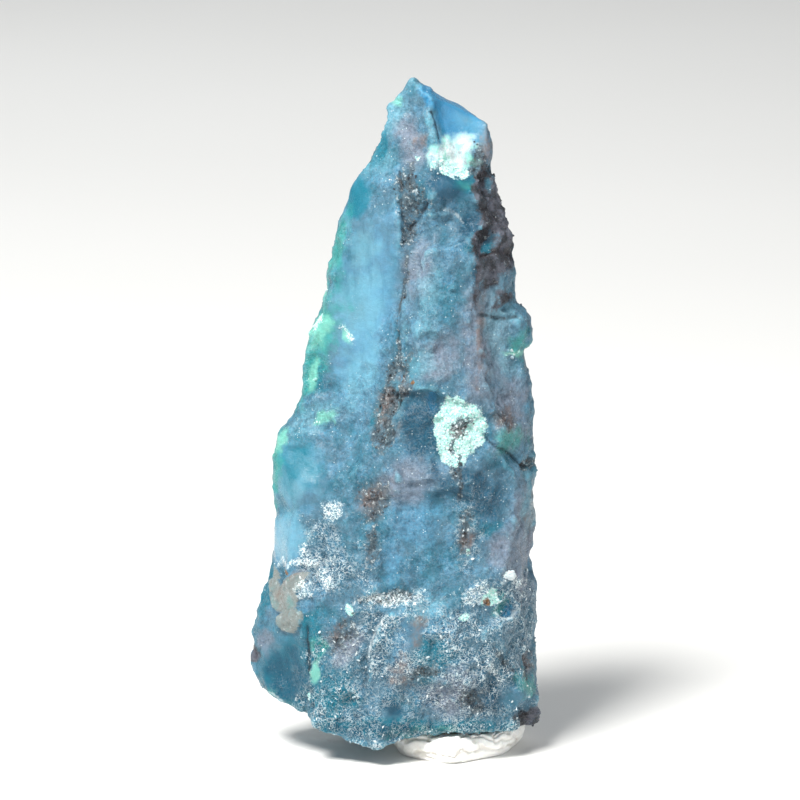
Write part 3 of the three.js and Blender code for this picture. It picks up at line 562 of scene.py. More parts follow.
class Surface:
    """A mesh's points, normals and edges as arrays, in mm."""

    def __init__(self, mesh):
        self.mesh = mesh
        self.count = len(mesh.vertices)
        self.points = self.read(mesh.vertices, "co", 3, np.float32).astype(float)
        self.edges = self.read(mesh.edges, "vertices", 2, np.int32)
        self.links = np.bincount(self.edges.ravel(), minlength=self.count)[:, None]
        self.normals = self.read(mesh.vertex_normals, "vector", 3, np.float32).astype(float)

    @staticmethod
    def read(source, name, width, kind):
        """Rows of width numbers from a mesh's own collection."""
        values = np.zeros(len(source) * width, kind)
        source.foreach_get(name, values)
        return values.reshape(-1, width)

    def write(self):
        """Moves the mesh to the points and reads its new normals."""
        self.mesh.vertices.foreach_set("co", self.points.astype(np.float32).ravel())
        self.mesh.update()
        self.normals = self.read(self.mesh.vertex_normals, "vector", 3, np.float32).astype(float)

    def gathered(self, to_first, to_second):
        """Adds up, at each vertex, what its edges bring to their first and second ends."""
        first, second = self.edges.T
        columns = [
            np.bincount(first, a, self.count) + np.bincount(second, b, self.count)
            for a, b in zip(to_first.T, to_second.T)
        ]
        return np.stack(columns, axis=1)

    def evened(self, values, rounds):
        """Values spread over neighbours for some rounds."""
        flat = values.reshape(self.count, -1)
        first, second = self.edges.T
        for _ in range(rounds):
            flat = (flat + self.gathered(flat[second], flat[first]) / self.links) / 2
        return flat.reshape(values.shape)

    def place(self):
        """(across, rise) of each vertex."""
        return np.stack([self.points[:, 0], self.points[:, 2] + self.points[:, 1] * SIGHT], axis=1)

    def facing(self, low, high):
        """1 where the surface faces the front, 0 behind, with a soft change between."""
        return ramp(-self.normals[:, 1], low, high)

    def keep(self, name, values):
        """Stores one number, or one vector, for each vertex."""
        kind, field = ("FLOAT_VECTOR", "vector") if values.ndim > 1 else ("FLOAT", "value")
        layer = self.mesh.attributes.new(name, kind, "POINT")
        layer.data.foreach_set(field, values.astype(np.float32).ravel())


def even_facets(surface, rounds, likeness):
    """Melts flat facets together and leaves arrises sharper than about likeness radians."""
    first, second = surface.edges.T
    normals = surface.normals
    for _ in range(rounds):
        gap = np.linalg.norm(normals[first] - normals[second], axis=1)
        weight = np.exp(-((gap / likeness) ** 2))[:, None]
        normals = unit(normals + surface.gathered(normals[second] * weight, normals[first] * weight))
    for _ in range(rounds):
        between = unit(normals[first] + normals[second], 1e-9)
        step = surface.points[second] - surface.points[first]
        rise = between * np.sum(between * step, axis=1)[:, None]
        surface.points += surface.gathered(rise, -rise) / surface.links / 2
    surface.write()


def stretch_flush(surface, chosen, rounds):
    """Stretches the chosen points like a film between the still points around them."""
    near = surface.edges[chosen[surface.edges].any(axis=1)]
    ids, ends = np.unique(near, return_inverse=True)
    first, second = ends.reshape(-1, 2).T
    links = np.bincount(ends.ravel())[:, None]
    points = surface.points[ids]
    moving = chosen[ids][:, None]
    for _ in range(rounds):
        columns = [
            np.bincount(first, column[second], len(ids)) + np.bincount(second, column[first], len(ids))
            for column in points.T
        ]
        points = np.where(moving, np.stack(columns, axis=1) / links, points)
    surface.points[ids] = points


def mark_mask(surface, marks, seed):
    """How strongly a set of marks covers each vertex, 0 to 1."""
    place = surface.place()
    wander = np.stack([layered_noise(surface.points, 1.0, seed + k) for k in (0, 5)], axis=1)
    total = np.zeros(surface.count)
    for mark in marks:
        lean = math.radians(mark.lean)
        away = place - (mark.across, mark.rise) + wander * mark.ragged
        along = away @ (math.cos(lean), -math.sin(lean))
        up = away @ (math.sin(lean), math.cos(lean))
        radius = np.hypot(along / mark.width, up / mark.height) * 2
        total = np.maximum(total, 1 - ramp(radius, 1 - mark.edge, 1 + mark.edge * 0.6))
    return total


def path_distance(place, path):
    """Distance to a path, and 1 on its right side or -1 on its left."""
    best = np.full(len(place), 1e9)
    side = np.zeros(len(place))
    for start, end in zip(np.array(path), np.array(path[1:])):
        along = end - start
        share = np.clip((place - start) @ along / (along @ along), 0, 1)
        away = place - start - share[:, None] * along
        distance = np.hypot(*away.T)
        nearer = distance < best
        side = np.where(nearer, np.sign(along[1] * away[:, 0] - along[0] * away[:, 1]), side)
        best = np.minimum(best, distance)
    return best, side


def line_mask(place, lines):
    """1 on the nearest of some (path, width) lines, fading over its width."""
    reach = [path_distance(place, path)[0] / width for path, width in lines]
    return np.exp(-(np.min(reach, axis=0) ** 2))


# ---- meshes and pieces


def holder_of(mesh):
    """A passing object for a mesh that modifiers work on."""
    holder = bpy.data.objects.new("holder", mesh)
    bpy.context.collection.objects.link(holder)
    return holder


def evaluated_mesh(holder):
    """The mesh that a holder's modifiers make. The holder is removed."""
    bpy.context.view_layer.update()
    seen = holder.evaluated_get(bpy.context.evaluated_depsgraph_get())
    mesh = bpy.data.meshes.new_from_object(seen)
    bpy.data.objects.remove(holder)
    return mesh


def mesh_from(work, name="shape"):
    """A plain mesh from a finished BMesh."""
    mesh = bpy.data.meshes.new(name)
    work.to_mesh(mesh)
    work.free()
    return mesh


def closed_mesh(work):
    """A mesh from closed faces, turned outwards."""
    bmesh.ops.recalc_face_normals(work, faces=work.faces)
    return mesh_from(work)


def remeshed_node(node, voxel):
    """A node's shape in mm, merged and remeshed to small even squares."""
    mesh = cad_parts[node].data.copy()
    mesh.materials.clear()
    mesh.transform(Matrix.Scale(1 / MM, 4))
    work = bmesh.new()
    work.from_mesh(mesh)
    bmesh.ops.remove_doubles(work, verts=work.verts, dist=1e-3)
    work.to_mesh(mesh)
    work.free()
    holder = holder_of(mesh)
    remesh = holder.modifiers.new("Even squares", "REMESH")
    remesh.mode = "VOXEL"
    remesh.voxel_size = voxel
    return evaluated_mesh(holder)


def finished_piece(name, mesh, material, node=None, smooth=True):
    """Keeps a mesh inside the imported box, brings it to metres and makes it a riding piece."""
    low, high = (np.array(corner) / MM for corner in MODEL_BOX)
    points = Surface.read(mesh.vertices, "co", 3, np.float32)
    kept = np.clip(points, low + BOX_MARGIN, high - BOX_MARGIN)
    mesh.vertices.foreach_set("co", kept.astype(np.float32).ravel())
    mesh.transform(Matrix.Scale(MM, 4))
    mesh.name = name
    mesh.materials.clear()
    mesh.materials.append(material)
    mesh.polygons.foreach_set("use_smooth", np.full(len(mesh.polygons), smooth))
    mesh.update()
    piece = bpy.data.objects.new(name, mesh)
    bpy.context.collection.objects.link(piece)
    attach(piece, BODY)
    if node:
        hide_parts(node)


# ---- the stone's skin


def carried_masks(surface, front):
    """The masks that noise carries on round the sides, back and foot."""
    points = surface.points
    across, height = points[:, 0], points[:, 2]
    broad = layered_noise(points, 4.0, 201)
    patchy = layered_noise(points, 2.2, 202)
    crumbs = layered_noise(points, 0.8, 204)
    behind = 1 - front
    right = ramp(surface.normals[:, 0], 0.1, 0.6)
    shoulder_span = ramp(height, 26, 29) * (1 - ramp(height, 34, 37))
    seam = np.abs(across - 0.6 + 2.6 * broad + 0.8 * patchy + 0.1 * (height - 20))
    return {
        "druse": ramp(6.5 - height + 2.5 * patchy, 0, 4) * 0.9,
        "vein": (1 - ramp(seam, 0.1, 1.0)) * ramp(patchy, -0.2, 0.5) * behind,
        "rust": (1 - ramp(seam, 0.3, 2.0)) * ramp(broad, -0.3, 0.4) * behind,
        "shoulder": right * ramp(across, 3.5, 5) * shoulder_span * ramp(broad, -0.5, 0),
        "mint": ramp(patchy + 0.3 * crumbs, 0.5, 0.85) * behind * ramp(broad, 0, 0.3),
        "green": ramp(patchy, 0.1, 0.6) * behind * ramp(broad, -0.2, 0.3),
        "pale": ramp(layered_noise(points, 3.0, 205), 0.0, 0.6) * behind * 0.8,
        "teal": ramp(-across + 2 * patchy, 0.5, 4) * behind * 0.8,
        "deep": ramp(-patchy, 0.25, 0.8) * behind * 0.8,
        "sky": ramp(broad, 0.0, 0.6) * behind,
        "mauve": ramp(across + 2.5 * patchy, 1.0, 6) * behind * 0.8,
        "smooth": ramp(-broad, -0.1, 0.4) * behind * 0.8,
        "gloss": ramp(-broad, 0.0, 0.4) * behind * 0.6,
        "knobbly": ramp(broad, 0.1, 0.5) * behind * 0.7,
        "frost": ramp(layered_noise(points, 1.4, 203), 0.5, 0.8) * ramp(10 - height, 0, 3) * behind,
    }


def stone_masks(surface):
    """The masks of the marks on the front, carried on round the sides and back by noise."""
    front = ramp(-surface.evened(surface.normals, FRONT_EVENING)[:, 1], *FRONT_FADE)
    masks = {}
    for step, (kind, marks) in enumerate(MARKS.items()):
        masks[kind] = mark_mask(surface, marks.values(), SEED_STEP * step) * front
    for kind, extra in carried_masks(surface, front).items():
        masks[kind] = np.maximum(masks[kind], extra)
    patchy = layered_noise(surface.points, 2.2, 202)
    crumbs = layered_noise(surface.points, 0.8, 204)
    masks["druse"] *= 0.5 + 0.5 * ramp(patchy, -0.5, 0.4)
    masks["mint"] = np.maximum(masks["mint"], 0.7 * ramp(crumbs, 0.35, 0.6) * masks["jade"])
    masks["mint"] *= 1 - masks["ember"]
    place = surface.place()
    # The rims are painted highlights along the edges of plates.
    rims = [(path, RIM_WIDTH) for path in RIM_HIGHLIGHTS.values()]
    masks["crack"] = line_mask(place, CRACKS.values()) * front
    masks["rim"] = line_mask(place, rims) * front * ramp(patchy, -0.6, 0.0)
    return masks


def relief(surface, masks, settings):
    """How far each point moves along its normal, in mm."""
    points, place = surface.points, surface.place()
    front = surface.facing(-0.2, 0.3)
    rough = 1 - SMOOTHING * masks["smooth"]
    grains = 0.5 - cell_noise(points, 0.4, 306)
    lift = lumps(points, "swell") * rough
    for size, height, seed in CHIPS:
        lift += height * chip_noise(points, size, seed) * rough
    lift += lumps(points, "grit") * rough
    lift += knobs(points, "knobs", 0.55) * masks["knobbly"]
    lift += knobs(points, "druse") * masks["druse"]
    lift += (0.2 * grains - 0.1) * masks["vein"]
    lift += lumps(points, "bark") * masks["shoulder"]
    lift += (0.04 + 0.14 * grains) * np.maximum(masks["mint"], masks["frost"])
    lift += (0.2 + lumps(points, "crust")) * ramp(masks["cream"], 0.3, 0.6)
    lift += knobs(points, "beads") * masks["jade"]
    lift *= settings.relief
    wander = lumps(points, "crack")
    for crack in CRACKS.values():
        ragged = path_distance(place, crack.path)[0] + wander
        lift -= CRACK_DEPTH * np.exp(-((ragged / crack.width) ** 2)) * front
    for plate in PLATES.values():
        distance, side = path_distance(place, plate.path)
        over = ramp(side * distance, -0.09, 0.09) - 0.5
        lift += plate.height * over * np.exp(-((distance / plate.reach) ** 2) * 2) * front
    ring = np.hypot(*(place - SHELL["at"]).T) / SHELL["radius"]
    lift += SHELL["depth"] * front * (np.exp(-((ring - 1.05) ** 2) * 18) * 0.7 - np.exp(-(ring**4)))
    return lift


def wall_thickness(surface):
    """How far it is through the stone behind each point, in mm."""
    tree = BVHTree.FromPolygons(
        [Vector(p) for p in surface.points], [tuple(p.vertices) for p in surface.mesh.polygons]
    )
    depth = np.zeros(surface.count)
    for index, (point, normal) in enumerate(zip(surface.points, surface.normals)):
        inward = Vector(-normal)
        hit = tree.ray_cast(Vector(point) + inward * 0.05, inward)
        depth[index] = hit[3] if hit[0] else 0
    return depth


def fibre_ways(surface, marks):
    """For each point, the way out along the surface from the middle of its nearest mark."""
    place = surface.place()
    nearest = np.full(surface.count, 1e9)
    ways = np.zeros((surface.count, 3))
    for mark in marks:
        away = place - (mark.across, mark.rise)
        distance = np.hypot(*away.T) / mark.width
        out = np.stack([away[:, 0], np.zeros(surface.count), away[:, 1]], axis=1)
        out -= surface.normals * np.sum(out * surface.normals, axis=1)[:, None]
        nearer = distance < nearest
        ways[nearer] = out[nearer]
        nearest = np.minimum(nearest, distance)
    return unit(ways, 1e-6)


def shape_skin(surface, masks, settings):
    """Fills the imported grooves, settles the veins and lays the relief on."""
    flush = mark_mask(surface, FLUSH.values(), 7) * surface.facing(-0.2, 0.1)
    stretch_flush(surface, flush > 0.02, settings.flush)
    settled = VEIN_SETTLING * masks["vein"][:, None]
    surface.points += (surface.evened(surface.points, 24) - surface.points) * settled
    surface.write()
    surface.points += surface.normals * relief(surface, masks, settings)[:, None]
    surface.write()


def make_skin(settings):
    """The stone's surface, with its relief and the masks that the material reads."""
    surface = Surface(remeshed_node(STONE_NODE, settings.voxel))
    even_facets(surface, settings.evening, math.radians(settings.arris))
    masks = stone_masks(surface)
    shape_skin(surface, masks, settings)
    # How hollow each point is, below 0 on ridges. The material paints shade into the hollows and highlights
    # onto the ridges from it.
    bend = np.sum((surface.evened(surface.points, 18) - surface.points) * surface.normals, axis=1)
    masks["hollow"] = np.clip(surface.evened(bend, 2) / HOLLOW_DEPTH, -1, 1)
    # Thin walls, where the material paints a glow of light coming through.
    masks["thin"] = surface.evened(1 - ramp(wall_thickness(surface), THIN_WALL, THICK_WALL), 7)
    hearts = [MARKS["mint"][name] for name in FIBRE_MARKS]
    mint_seed = SEED_STEP * list(MARKS).index("mint")
    masks["fibres"] = mark_mask(surface, hearts, mint_seed) * surface.facing(-0.2, 0.2)
    clumps = ramp(layered_noise(surface.points, 0.8, 410), -0.1, 0.5)
    bare = (1 - masks["cream"]) * (1 - 0.8 * masks["smooth"])
    masks["clumps"] = masks["druse"] * (0.1 + 0.9 * clumps) * bare
    masks["shreds"] = masks["frost"] * ramp(layered_noise(surface.points, 0.6, 411), -0.2, 0.4)
    for name, values in masks.items():
        surface.keep(name, values)
    surface.keep("fibre_way", fibre_ways(surface, hearts))
    finished_piece(SKIN, surface.mesh, opal_material(settings), STONE_NODE)


# ---- nodes


class Wiring:
    """Short calls that add nodes to a tree and join them. Sizes of noise are in mm."""

    def __init__(self, tree):
        self.tree = tree

    def node(self, kind, **settings):
        """Adds a node and sets its options."""
        made = self.tree.nodes.new(kind)
        for name, value in settings.items():
            setattr(made, name, value)
        return made

    def feed(self, socket, source):
        """Joins a socket to another one, or sets its value."""
        if isinstance(source, bpy.types.NodeSocket):
            self.tree.links.new(source, socket)
        else:
            socket.default_value = source

    def fill(self, sockets, values):
        """Feeds sockets by name or number."""
        for key, value in values.items():
            self.feed(sockets[key], value)

    def made(self, kind, values, output=0, **settings):
        """Adds a node, fills its inputs, and gives one of its outputs."""
        node = self.node(kind, **settings)
        self.fill(node.inputs, values)
        return node.outputs[output]

    def typed(self, kind, values, **settings):
        """The same for a node whose live sockets depend on its type. Values are given in order."""
        node = self.node(kind, **settings)
        live = [socket for socket in node.inputs if socket.enabled]
        self.fill(live, dict(enumerate(values)))
        return next(socket for socket in node.outputs if socket.enabled)

    def math(self, operation, *values):
        return self.made("ShaderNodeMath", dict(enumerate(values)), operation=operation)

    def product(self, first, *others):
        for other in others:
            first = self.math("MULTIPLY", first, other)
        return first

    def most(self, first, *others):
        for other in others:
            first = self.math("MAXIMUM", first, other)
        return first

    def ramp(self, value, low, high, start=0.0, end=1.0):
        """A smooth change from start, where the value is low, to end, where it is high."""
        values = {0: value, 1: low, 2: high, 3: start, 4: end}
        return self.made("ShaderNodeMapRange", values, interpolation_type="SMOOTHSTEP")

    def blend(self, below, above, share, how="MIX"):
        """One colour over another by a share."""
        values = {0: share, 6: below, 7: above}
        return self.made("ShaderNodeMix", values, 2, data_type="RGBA", blend_type=how)

    def mask(self, name):
        """A mask that the mesh carries."""
        return self.node("ShaderNodeAttribute", attribute_name=name).outputs["Fac"]

    def place(self):
        return self.node("ShaderNodeTexCoord").outputs["Object"]

    def noise(self, size, detail=3.0, roughness=0.55, place=None):
        """Noise from 0 to 1 whose lumps are about size mm."""
        values = {"Vector": place or self.place(), "Scale": 1 / (size * MM)}
        values |= {"Detail": detail, "Roughness": roughness}
        return self.made("ShaderNodeTexNoise", values)

    def group(self, group, **values):
        """Places a node group with its own values and gives its outputs."""
        node = self.node("ShaderNodeGroup", node_tree=group)
        self.fill(node.inputs, values)
        return node.outputs


def numbers(*names):
    """Sockets that carry numbers, for a node group."""
    return dict.fromkeys(names, "NodeSocketFloat")


def new_group(name, kind, inputs, outputs):
    """A node group with named sockets. Gives its wiring, its inputs and its outputs."""
    tree = bpy.data.node_groups.new(name, kind)
    for direction, sockets in (("INPUT", inputs), ("OUTPUT", outputs)):
        for label, socket_type in sockets.items():
            tree.interface.new_socket(label, in_out=direction, socket_type=socket_type)
    wiring = Wiring(tree)
    return wiring, wiring.node("NodeGroupInput").outputs, wiring.node("NodeGroupOutput").inputs


@cache
def ragged_mask_group():
    """Breaks a soft mask's edge into grains."""
    given = numbers("Mask", "Grain", "Raggedness", "Softness")
    wiring, given, result = new_group("Ragged Mask", "ShaderNodeTree", given, numbers("Mask"))
    values = {"Vector": wiring.place(), "Scale": given["Grain"], "Detail": 4.0, "Roughness": 0.7}
    noise = wiring.math("SUBTRACT", wiring.made("ShaderNodeTexNoise", values), 0.5)
    shifted = wiring.math("MULTIPLY_ADD", noise, given["Raggedness"], given["Mask"])
    low = wiring.math("SUBTRACT", 0.5, given["Softness"])
    high = wiring.math("ADD", 0.5, given["Softness"])
    near = wiring.ramp(given["Mask"], 0.02, 0.25)
    wiring.feed(result["Mask"], wiring.product(wiring.ramp(shifted, low, high), near))
    return wiring.tree


@cache
def grain_group():
    """Scattered bright grains, dark gaps between them, fine pale threads, and their height."""
    result = numbers("Glint", "Gap", "Web", "Height")
    wiring, given, result = new_group("Grain", "ShaderNodeTree", numbers("Size"), result)
    scale = wiring.math("DIVIDE", 1 / MM, given["Size"])
    cells = wiring.node("ShaderNodeTexVoronoi")
    wiring.fill(cells.inputs, {"Vector": wiring.place(), "Scale": scale})
    draws = wiring.node("ShaderNodeSeparateColor")
    wiring.feed(draws.inputs[0], cells.outputs["Color"])
    height = wiring.math("SUBTRACT", 1.0, cells.outputs["Distance"])
    core = wiring.ramp(height, 0.3, 0.75)
    threads = []
    for share, detail in ((0.4, 1.0), (0.62, 0.0)):
        values = {"Vector": wiring.place(), "Scale": wiring.product(scale, share), "Detail": detail}
        level = wiring.math("SUBTRACT", wiring.made("ShaderNodeTexNoise", values), 0.5)
        threads.append(wiring.ramp(wiring.math("ABSOLUTE", level), 0.0, 0.05, 1.0, 0.0))
    web = wiring.most(*threads)
    glint = wiring.product(wiring.ramp(draws.outputs[0], 0.74, 0.9), core)
    gap = wiring.product(wiring.ramp(draws.outputs[1], 0.5, 0.8), core)
    rise = wiring.math("MULTIPLY_ADD", web, 0.7, wiring.product(height, draws.outputs[2]))
    wiring.fill(result, {"Glint": glint, "Gap": gap, "Web": web, "Height": rise})
    return wiring.tree


# ---- the stone's colour

# The masks that only tint the stone, in the order they are laid on, each with its colour, its
# strength and the size of the clouds along its edge in mm.
INNER_HUES = (
    ("sky", "Sky", 0.7, 1.2),
    ("mauve", "Mauve", 0.65, 1.2),
    ("pale", "Glow", 0.5, 0.9),
    ("azure", "Azure", 0.85, 0.8),
)
OUTER_HUES = (
    ("teal", "Teal", 0.8, 1.0),
    ("green", "Green", 0.75, 0.6),
    ("deep", "Deep", 0.74, 0.8),
    ("jade", "Jade", 0.8, 0.5),
)
# Masks whose clouds never reach past their own fading edge.
CONFINED = ("azure", "green", "jade", "milk", "rust")
STONE_COLOURS = (
    "sky", "slate", "azure", "teal", "deep", "mauve", "glow", "green", "jade", "mint", "frost", "cream",
    "rust", "umber", "ash", "ember",
)


class StoneTones:
    """The stone's colours, laid over each other where its masks and some noise say."""

    def __init__(self, wiring, colours):
        self.wiring, self.colours = wiring, colours
        self.mask, self.share, self.product = wiring.mask, wiring.ramp, wiring.product
        self.fine = wiring.group(grain_group(), Size=FINE_GRAIN)
        self.coarse = wiring.group(grain_group(), Size=COARSE_GRAIN)
        self.threads = wiring.most(self.fine["Web"], self.product(self.fine["Glint"], 0.8))
        self.broad = wiring.noise(2.4, 5, 0.6)
        self.cloudy = wiring.noise(1.1, 5, 0.65)
        self.small = wiring.noise(0.5, 4, 0.65)
        self.shreds = wiring.noise(0.3, 4, 0.7)
        self.speckle = self.share(wiring.noise(0.2, 3, 0.7), 0.3, 0.7)
        upright = {"Vector": wiring.place(), "Scale": (1.0, 1.0, 0.16)}
        self.streaky = wiring.noise(0.55, 4, 0.6, wiring.made("ShaderNodeMapping", upright))
        self.hollow, self.druse, self.rust = self.mask("hollow"), self.mask("druse"), self.mask("rust")
        self.dull = self.share(self.mask("smooth"), 0.1, 0.7, 1.0, 0.2)
        patch = self.share(self.cloudy, 0.38, 0.58, 0.3, 1.0)
        self.crumb = self.product(self.dull, patch, self.share(self.druse, 0.0, 1.0, 0.16, 1.0))
        self.vein = self.broken("vein", 0.3, 2.8, 0.3)
        self.mint = self.broken("mint", 0.35, 2.2, 0.2)

    def over(self, tone, name, *amounts):
        """The tone with another of the stone's colours laid over it by some amounts."""
        return self.wiring.blend(tone, self.colours[name], self.product(*amounts))

    def laid(self, tone, *layers):
        """The tone with layers over it. Each has a colour, what it follows, the values of that at
        which it starts and is full, its strength there, and what may weaken it."""
        for name, value, start, full, strength, *weak in layers:
            tone = self.over(tone, name, self.share(value, start, full, 0.0, strength), *weak)
        return tone

    def soft(self, name, strength, size):
        """A mask with cloudy edges, for the stone's own hues."""
        cloud = self.wiring.math("MULTIPLY_ADD", self.wiring.noise(size, 4), 1.5, -0.75)
        spread = self.wiring.math("ADD", self.mask(name), cloud)
        cloudy_mask = self.product(self.share(spread, 0.05, 0.95), strength)
        if name in CONFINED:
            cloudy_mask = self.product(cloudy_mask, self.share(self.mask(name), 0.0, 0.25))
        return cloudy_mask

    def tinted(self, tone, hues):
        """The tone with a row of cloudy hues laid over it."""
        for name, colour, strength, size in hues:
            tone = self.over(tone, colour, self.soft(name, strength, size))
        return tone

    def broken(self, name, size, raggedness, softness):
        """A mask with grainy edges, for crusts and grains."""
        values = {"Mask": self.mask(name), "Grain": 1 / (size * MM)}
        values |= {"Raggedness": raggedness, "Softness": softness}
        return self.wiring.group(ragged_mask_group(), **values)["Mask"]

    def hues(self):
        """The stone's own hues, painted shade in its hollows, painted highlights on its ridges and a
        painted glow in its thin places.
        """
        tone = self.laid(
            self.colours["Slate"],
            ("Teal", self.broad, 0.42, 0.6, 0.55),
            ("Sky", self.cloudy, 0.46, 0.64, 0.5),
            ("Slate", self.druse, 0.2, 1.0, 0.65),
            ("Deep", self.druse, 0.2, 1.0, 0.25),
        )
        tone = self.laid(
            self.tinted(tone, INNER_HUES),
            ("Deep", self.streaky, 0.5, 0.36, 0.18),
            ("Deep", self.small, 0.5, 0.3, 0.4, self.dull),
            # Painted light: a pale glow where the walls are thin, and painted highlights on the ridges.
            ("Glow", self.mask("thin"), 0.4, 1.0, 0.35),
            ("Glow", self.hollow, -0.2, -1.0, 0.4),
        )
        tone = self.laid(
            self.tinted(tone, OUTER_HUES),
            # Painted shade: dark blue in the hollows, and again painted highlights on the ridges.
            ("Deep", self.hollow, 0.1, 1.0, 0.45),
            ("Glow", self.hollow, -0.2, -1.0, 0.25),
        )
        swing = self.product(self.wiring.math("SUBTRACT", self.speckle, 0.55), self.dull, 0.42)
        return self.wiring.blend(tone, self.wiring.math("ADD", swing, 1.0), 1.0, "MULTIPLY")

    def crystals(self, tone):
        """Fine crystals: dark gaps, bright threads and a few painted glints."""
        gaps = self.wiring.most(self.fine["Gap"], self.coarse["Gap"])
        tone = self.over(tone, "Deep", gaps, self.crumb, 0.8)
        # The pale threads are dimmer in the hollows and brighter on the ridges: painted shade and
        # highlight.
        raised = self.share(self.hollow, 0.5, -0.6, 0.4, 0.85)
        tone = self.over(tone, "Frost", self.threads, self.crumb, raised)
        # Painted highlights: a few white glints laid into the colour.
        glints = self.share(self.fine["Glint"], 0.9, 1.0)
        return self.over(tone, "Frost", glints, self.share(self.small, 0.52, 0.58), self.dull, 0.6)

    def veins(self, tone):
        """Rust, the grains of the veins with painted shade in their hollows, and umber along the cracks."""
        small, shreds = self.small, self.shreds
        streaks = self.share(self.streaky, 0.4, 0.6, 0.5, 1.0)
        mottled = self.product(streaks, self.share(small, 0.36, 0.58, 0.4, 1.1))
        tone = self.over(tone, "Rust", self.soft("rust", 0.55, 0.5), mottled)
        grains = self.laid(
            self.colours["Ash"],
            ("Rust", self.product(self.rust, small), 0.15, 0.6, 0.8),
            ("Slate", small, 0.5, 0.64, 0.7),
            ("Umber", shreds, 0.52, 0.4, 0.95),
            # Painted shade: darker umber in the hollows of the veins.
            ("Umber", self.hollow, 0.1, 0.9, 0.4),
            ("Frost", shreds, 0.57, 0.67, 0.6),
        )
        tone = self.wiring.blend(tone, grains, self.product(self.vein, 0.8))
        # Umber along the crack lines, in patches.
        darkening = self.share(small, 0.35, 0.55, 0.2, 1.0)
        return self.laid(tone, ("Umber", self.mask("crack"), 0.35, 1.0, 0.7, darkening))

    def shoulder(self, tone):
        """The dark bark on the shoulder."""
        cloud = self.share(self.wiring.noise(0.9, 5, 0.6), 0.42, 0.64, 0.05, 0.5)
        bark = self.laid(
            self.over(self.colours["Umber"], "Mauve", cloud),
            ("Rust", self.cloudy, 0.35, 0.6, 1.0, self.share(self.rust, 0.0, 1.0, 0.03, 0.3)),
            ("Frost", self.shreds, 0.62, 0.74, 0.4),
        )
        return self.wiring.blend(tone, bark, self.product(self.broken("shoulder", 0.6, 2.0, 0.3), 0.92))

    def cream_crust(self, tone):
        """The beige crust, greened and stained in places."""
        crust = self.laid(
            self.colours["Cream"],
            ("Green", self.cloudy, 0.5, 0.7, 0.5),
            ("Rust", self.small, 0.6, 0.36, 1.0, self.share(self.rust, 0.0, 1.0, 0.08, 0.8)),
            ("Umber", self.small, 0.44, 0.3, 0.3),
            ("Frost", self.shreds, 0.55, 0.68, 0.3),
        )
        return self.wiring.blend(tone, crust, self.product(self.broken("cream", 0.5, 1.4, 0.18), 0.8))

    def white_and_mint(self, tone):
        """Frost, painted highlights along the rims of plates, milk, and the mint crusts with their speckled
        hearts.
        """
        share, blend, fine = self.share, self.wiring.blend, self.fine
        lace = share(self.wiring.most(fine["Web"], fine["Glint"]), 0.05, 0.7, 0.12, 0.9)
        tone = self.over(tone, "Frost", self.broken("frost", 0.25, 2.6, 0.35), lace)
        gapped = share(self.small, 0.35, 0.6, 0.3, 1.0)
        # Painted highlights: pale lines along the edges of plates.
        tone = self.laid(tone, ("Frost", self.mask("rim"), 0.3, 1.0, 0.5, gapped))
        milky = self.over(self.colours["Frost"], "Mint", share(self.small, 0.44, 0.6, 0.1, 0.9))
        tone = blend(tone, milky, self.soft("milk", 0.95, 0.5))
        minty = self.over(self.colours["Mint"], "Frost", share(self.threads, 0.1, 0.8, 0.15, 0.9))
        minty = self.over(minty, "Teal", fine["Gap"], 0.5)
        tone = blend(tone, minty, self.product(self.mint, share(self.vein, 0.2, 0.8, 1.0, 0.1)))
        spot = self.laid(self.colours["Ember"], ("Umber", self.shreds, 0.52, 0.4, 0.7))
        return blend(tone, spot, self.product(self.broken("ember", 0.25, 1.6, 0.2), 0.9))

    def finish(self):
        """The roughness, the gloss and the height of the finest grain."""
        share, product = self.share, self.product
        chalk = self.wiring.most(self.mint, self.mask("vein"), self.mask("shoulder"))
        roughness = product(share(chalk, 0.1, 0.8, 0.34, 0.55), share(self.cloudy, 0.3, 0.7, 0.8, 1.2))
        roughness = product(roughness, share(self.threads, 0.2, 0.8, 1.0, 0.5))
        gloss = product(share(self.mask("gloss"), 0.2, 0.9, 0.05, 0.6), share(chalk, 0.1, 0.6, 1.0, 0.0))
        lumps = product(self.coarse["Height"], self.crumb, 1.5)
        height = self.wiring.math("MULTIPLY_ADD", self.fine["Height"], self.dull, lumps)
        return roughness, gloss, self.wiring.math("MULTIPLY_ADD", self.speckle, 0.6, height)


@cache
def opal_colour_group():
    """The stone's colour, roughness, gloss and height, from the masks that its mesh carries."""
    colour = "NodeSocketColor"
    given = {name.title(): colour for name in STONE_COLOURS}
    result = {"Color": colour, **numbers("Roughness", "Gloss", "Height")}
    wiring, given, result = new_group("Opal Colour", "ShaderNodeTree", given, result)
    stone = StoneTones(wiring, given)
    tone = stone.hues()
    for layer in (stone.crystals, stone.veins, stone.shoulder, stone.cream_crust, stone.white_and_mint):
        tone = layer(tone)
    for socket, value in zip(result, (tone, *stone.finish())):
        wiring.feed(socket, value)
    return wiring.tree


# ---- materials


def new_material(name):
    """An empty material. Gives it with its wiring and its Principled shader's inputs."""
    material = bpy.data.materials.new(name)
    material.use_nodes = True
    return material, Wiring(material.node_tree), material.node_tree.nodes["Principled BSDF"].inputs


def scattering(weight, radius, depth):
    """Shader values that let light in under the surface, to a depth in mm."""
    return {"Subsurface Weight": weight, "Subsurface Radius": radius, "Subsurface Scale": depth * MM}


def dented(wiring, height, distance):
    """A normal dented by a height that varies, to a distance in mm."""
    bump = {"Height": height, "Distance": distance * MM, "Strength": 0.8}
    return wiring.made("ShaderNodeBump", bump)


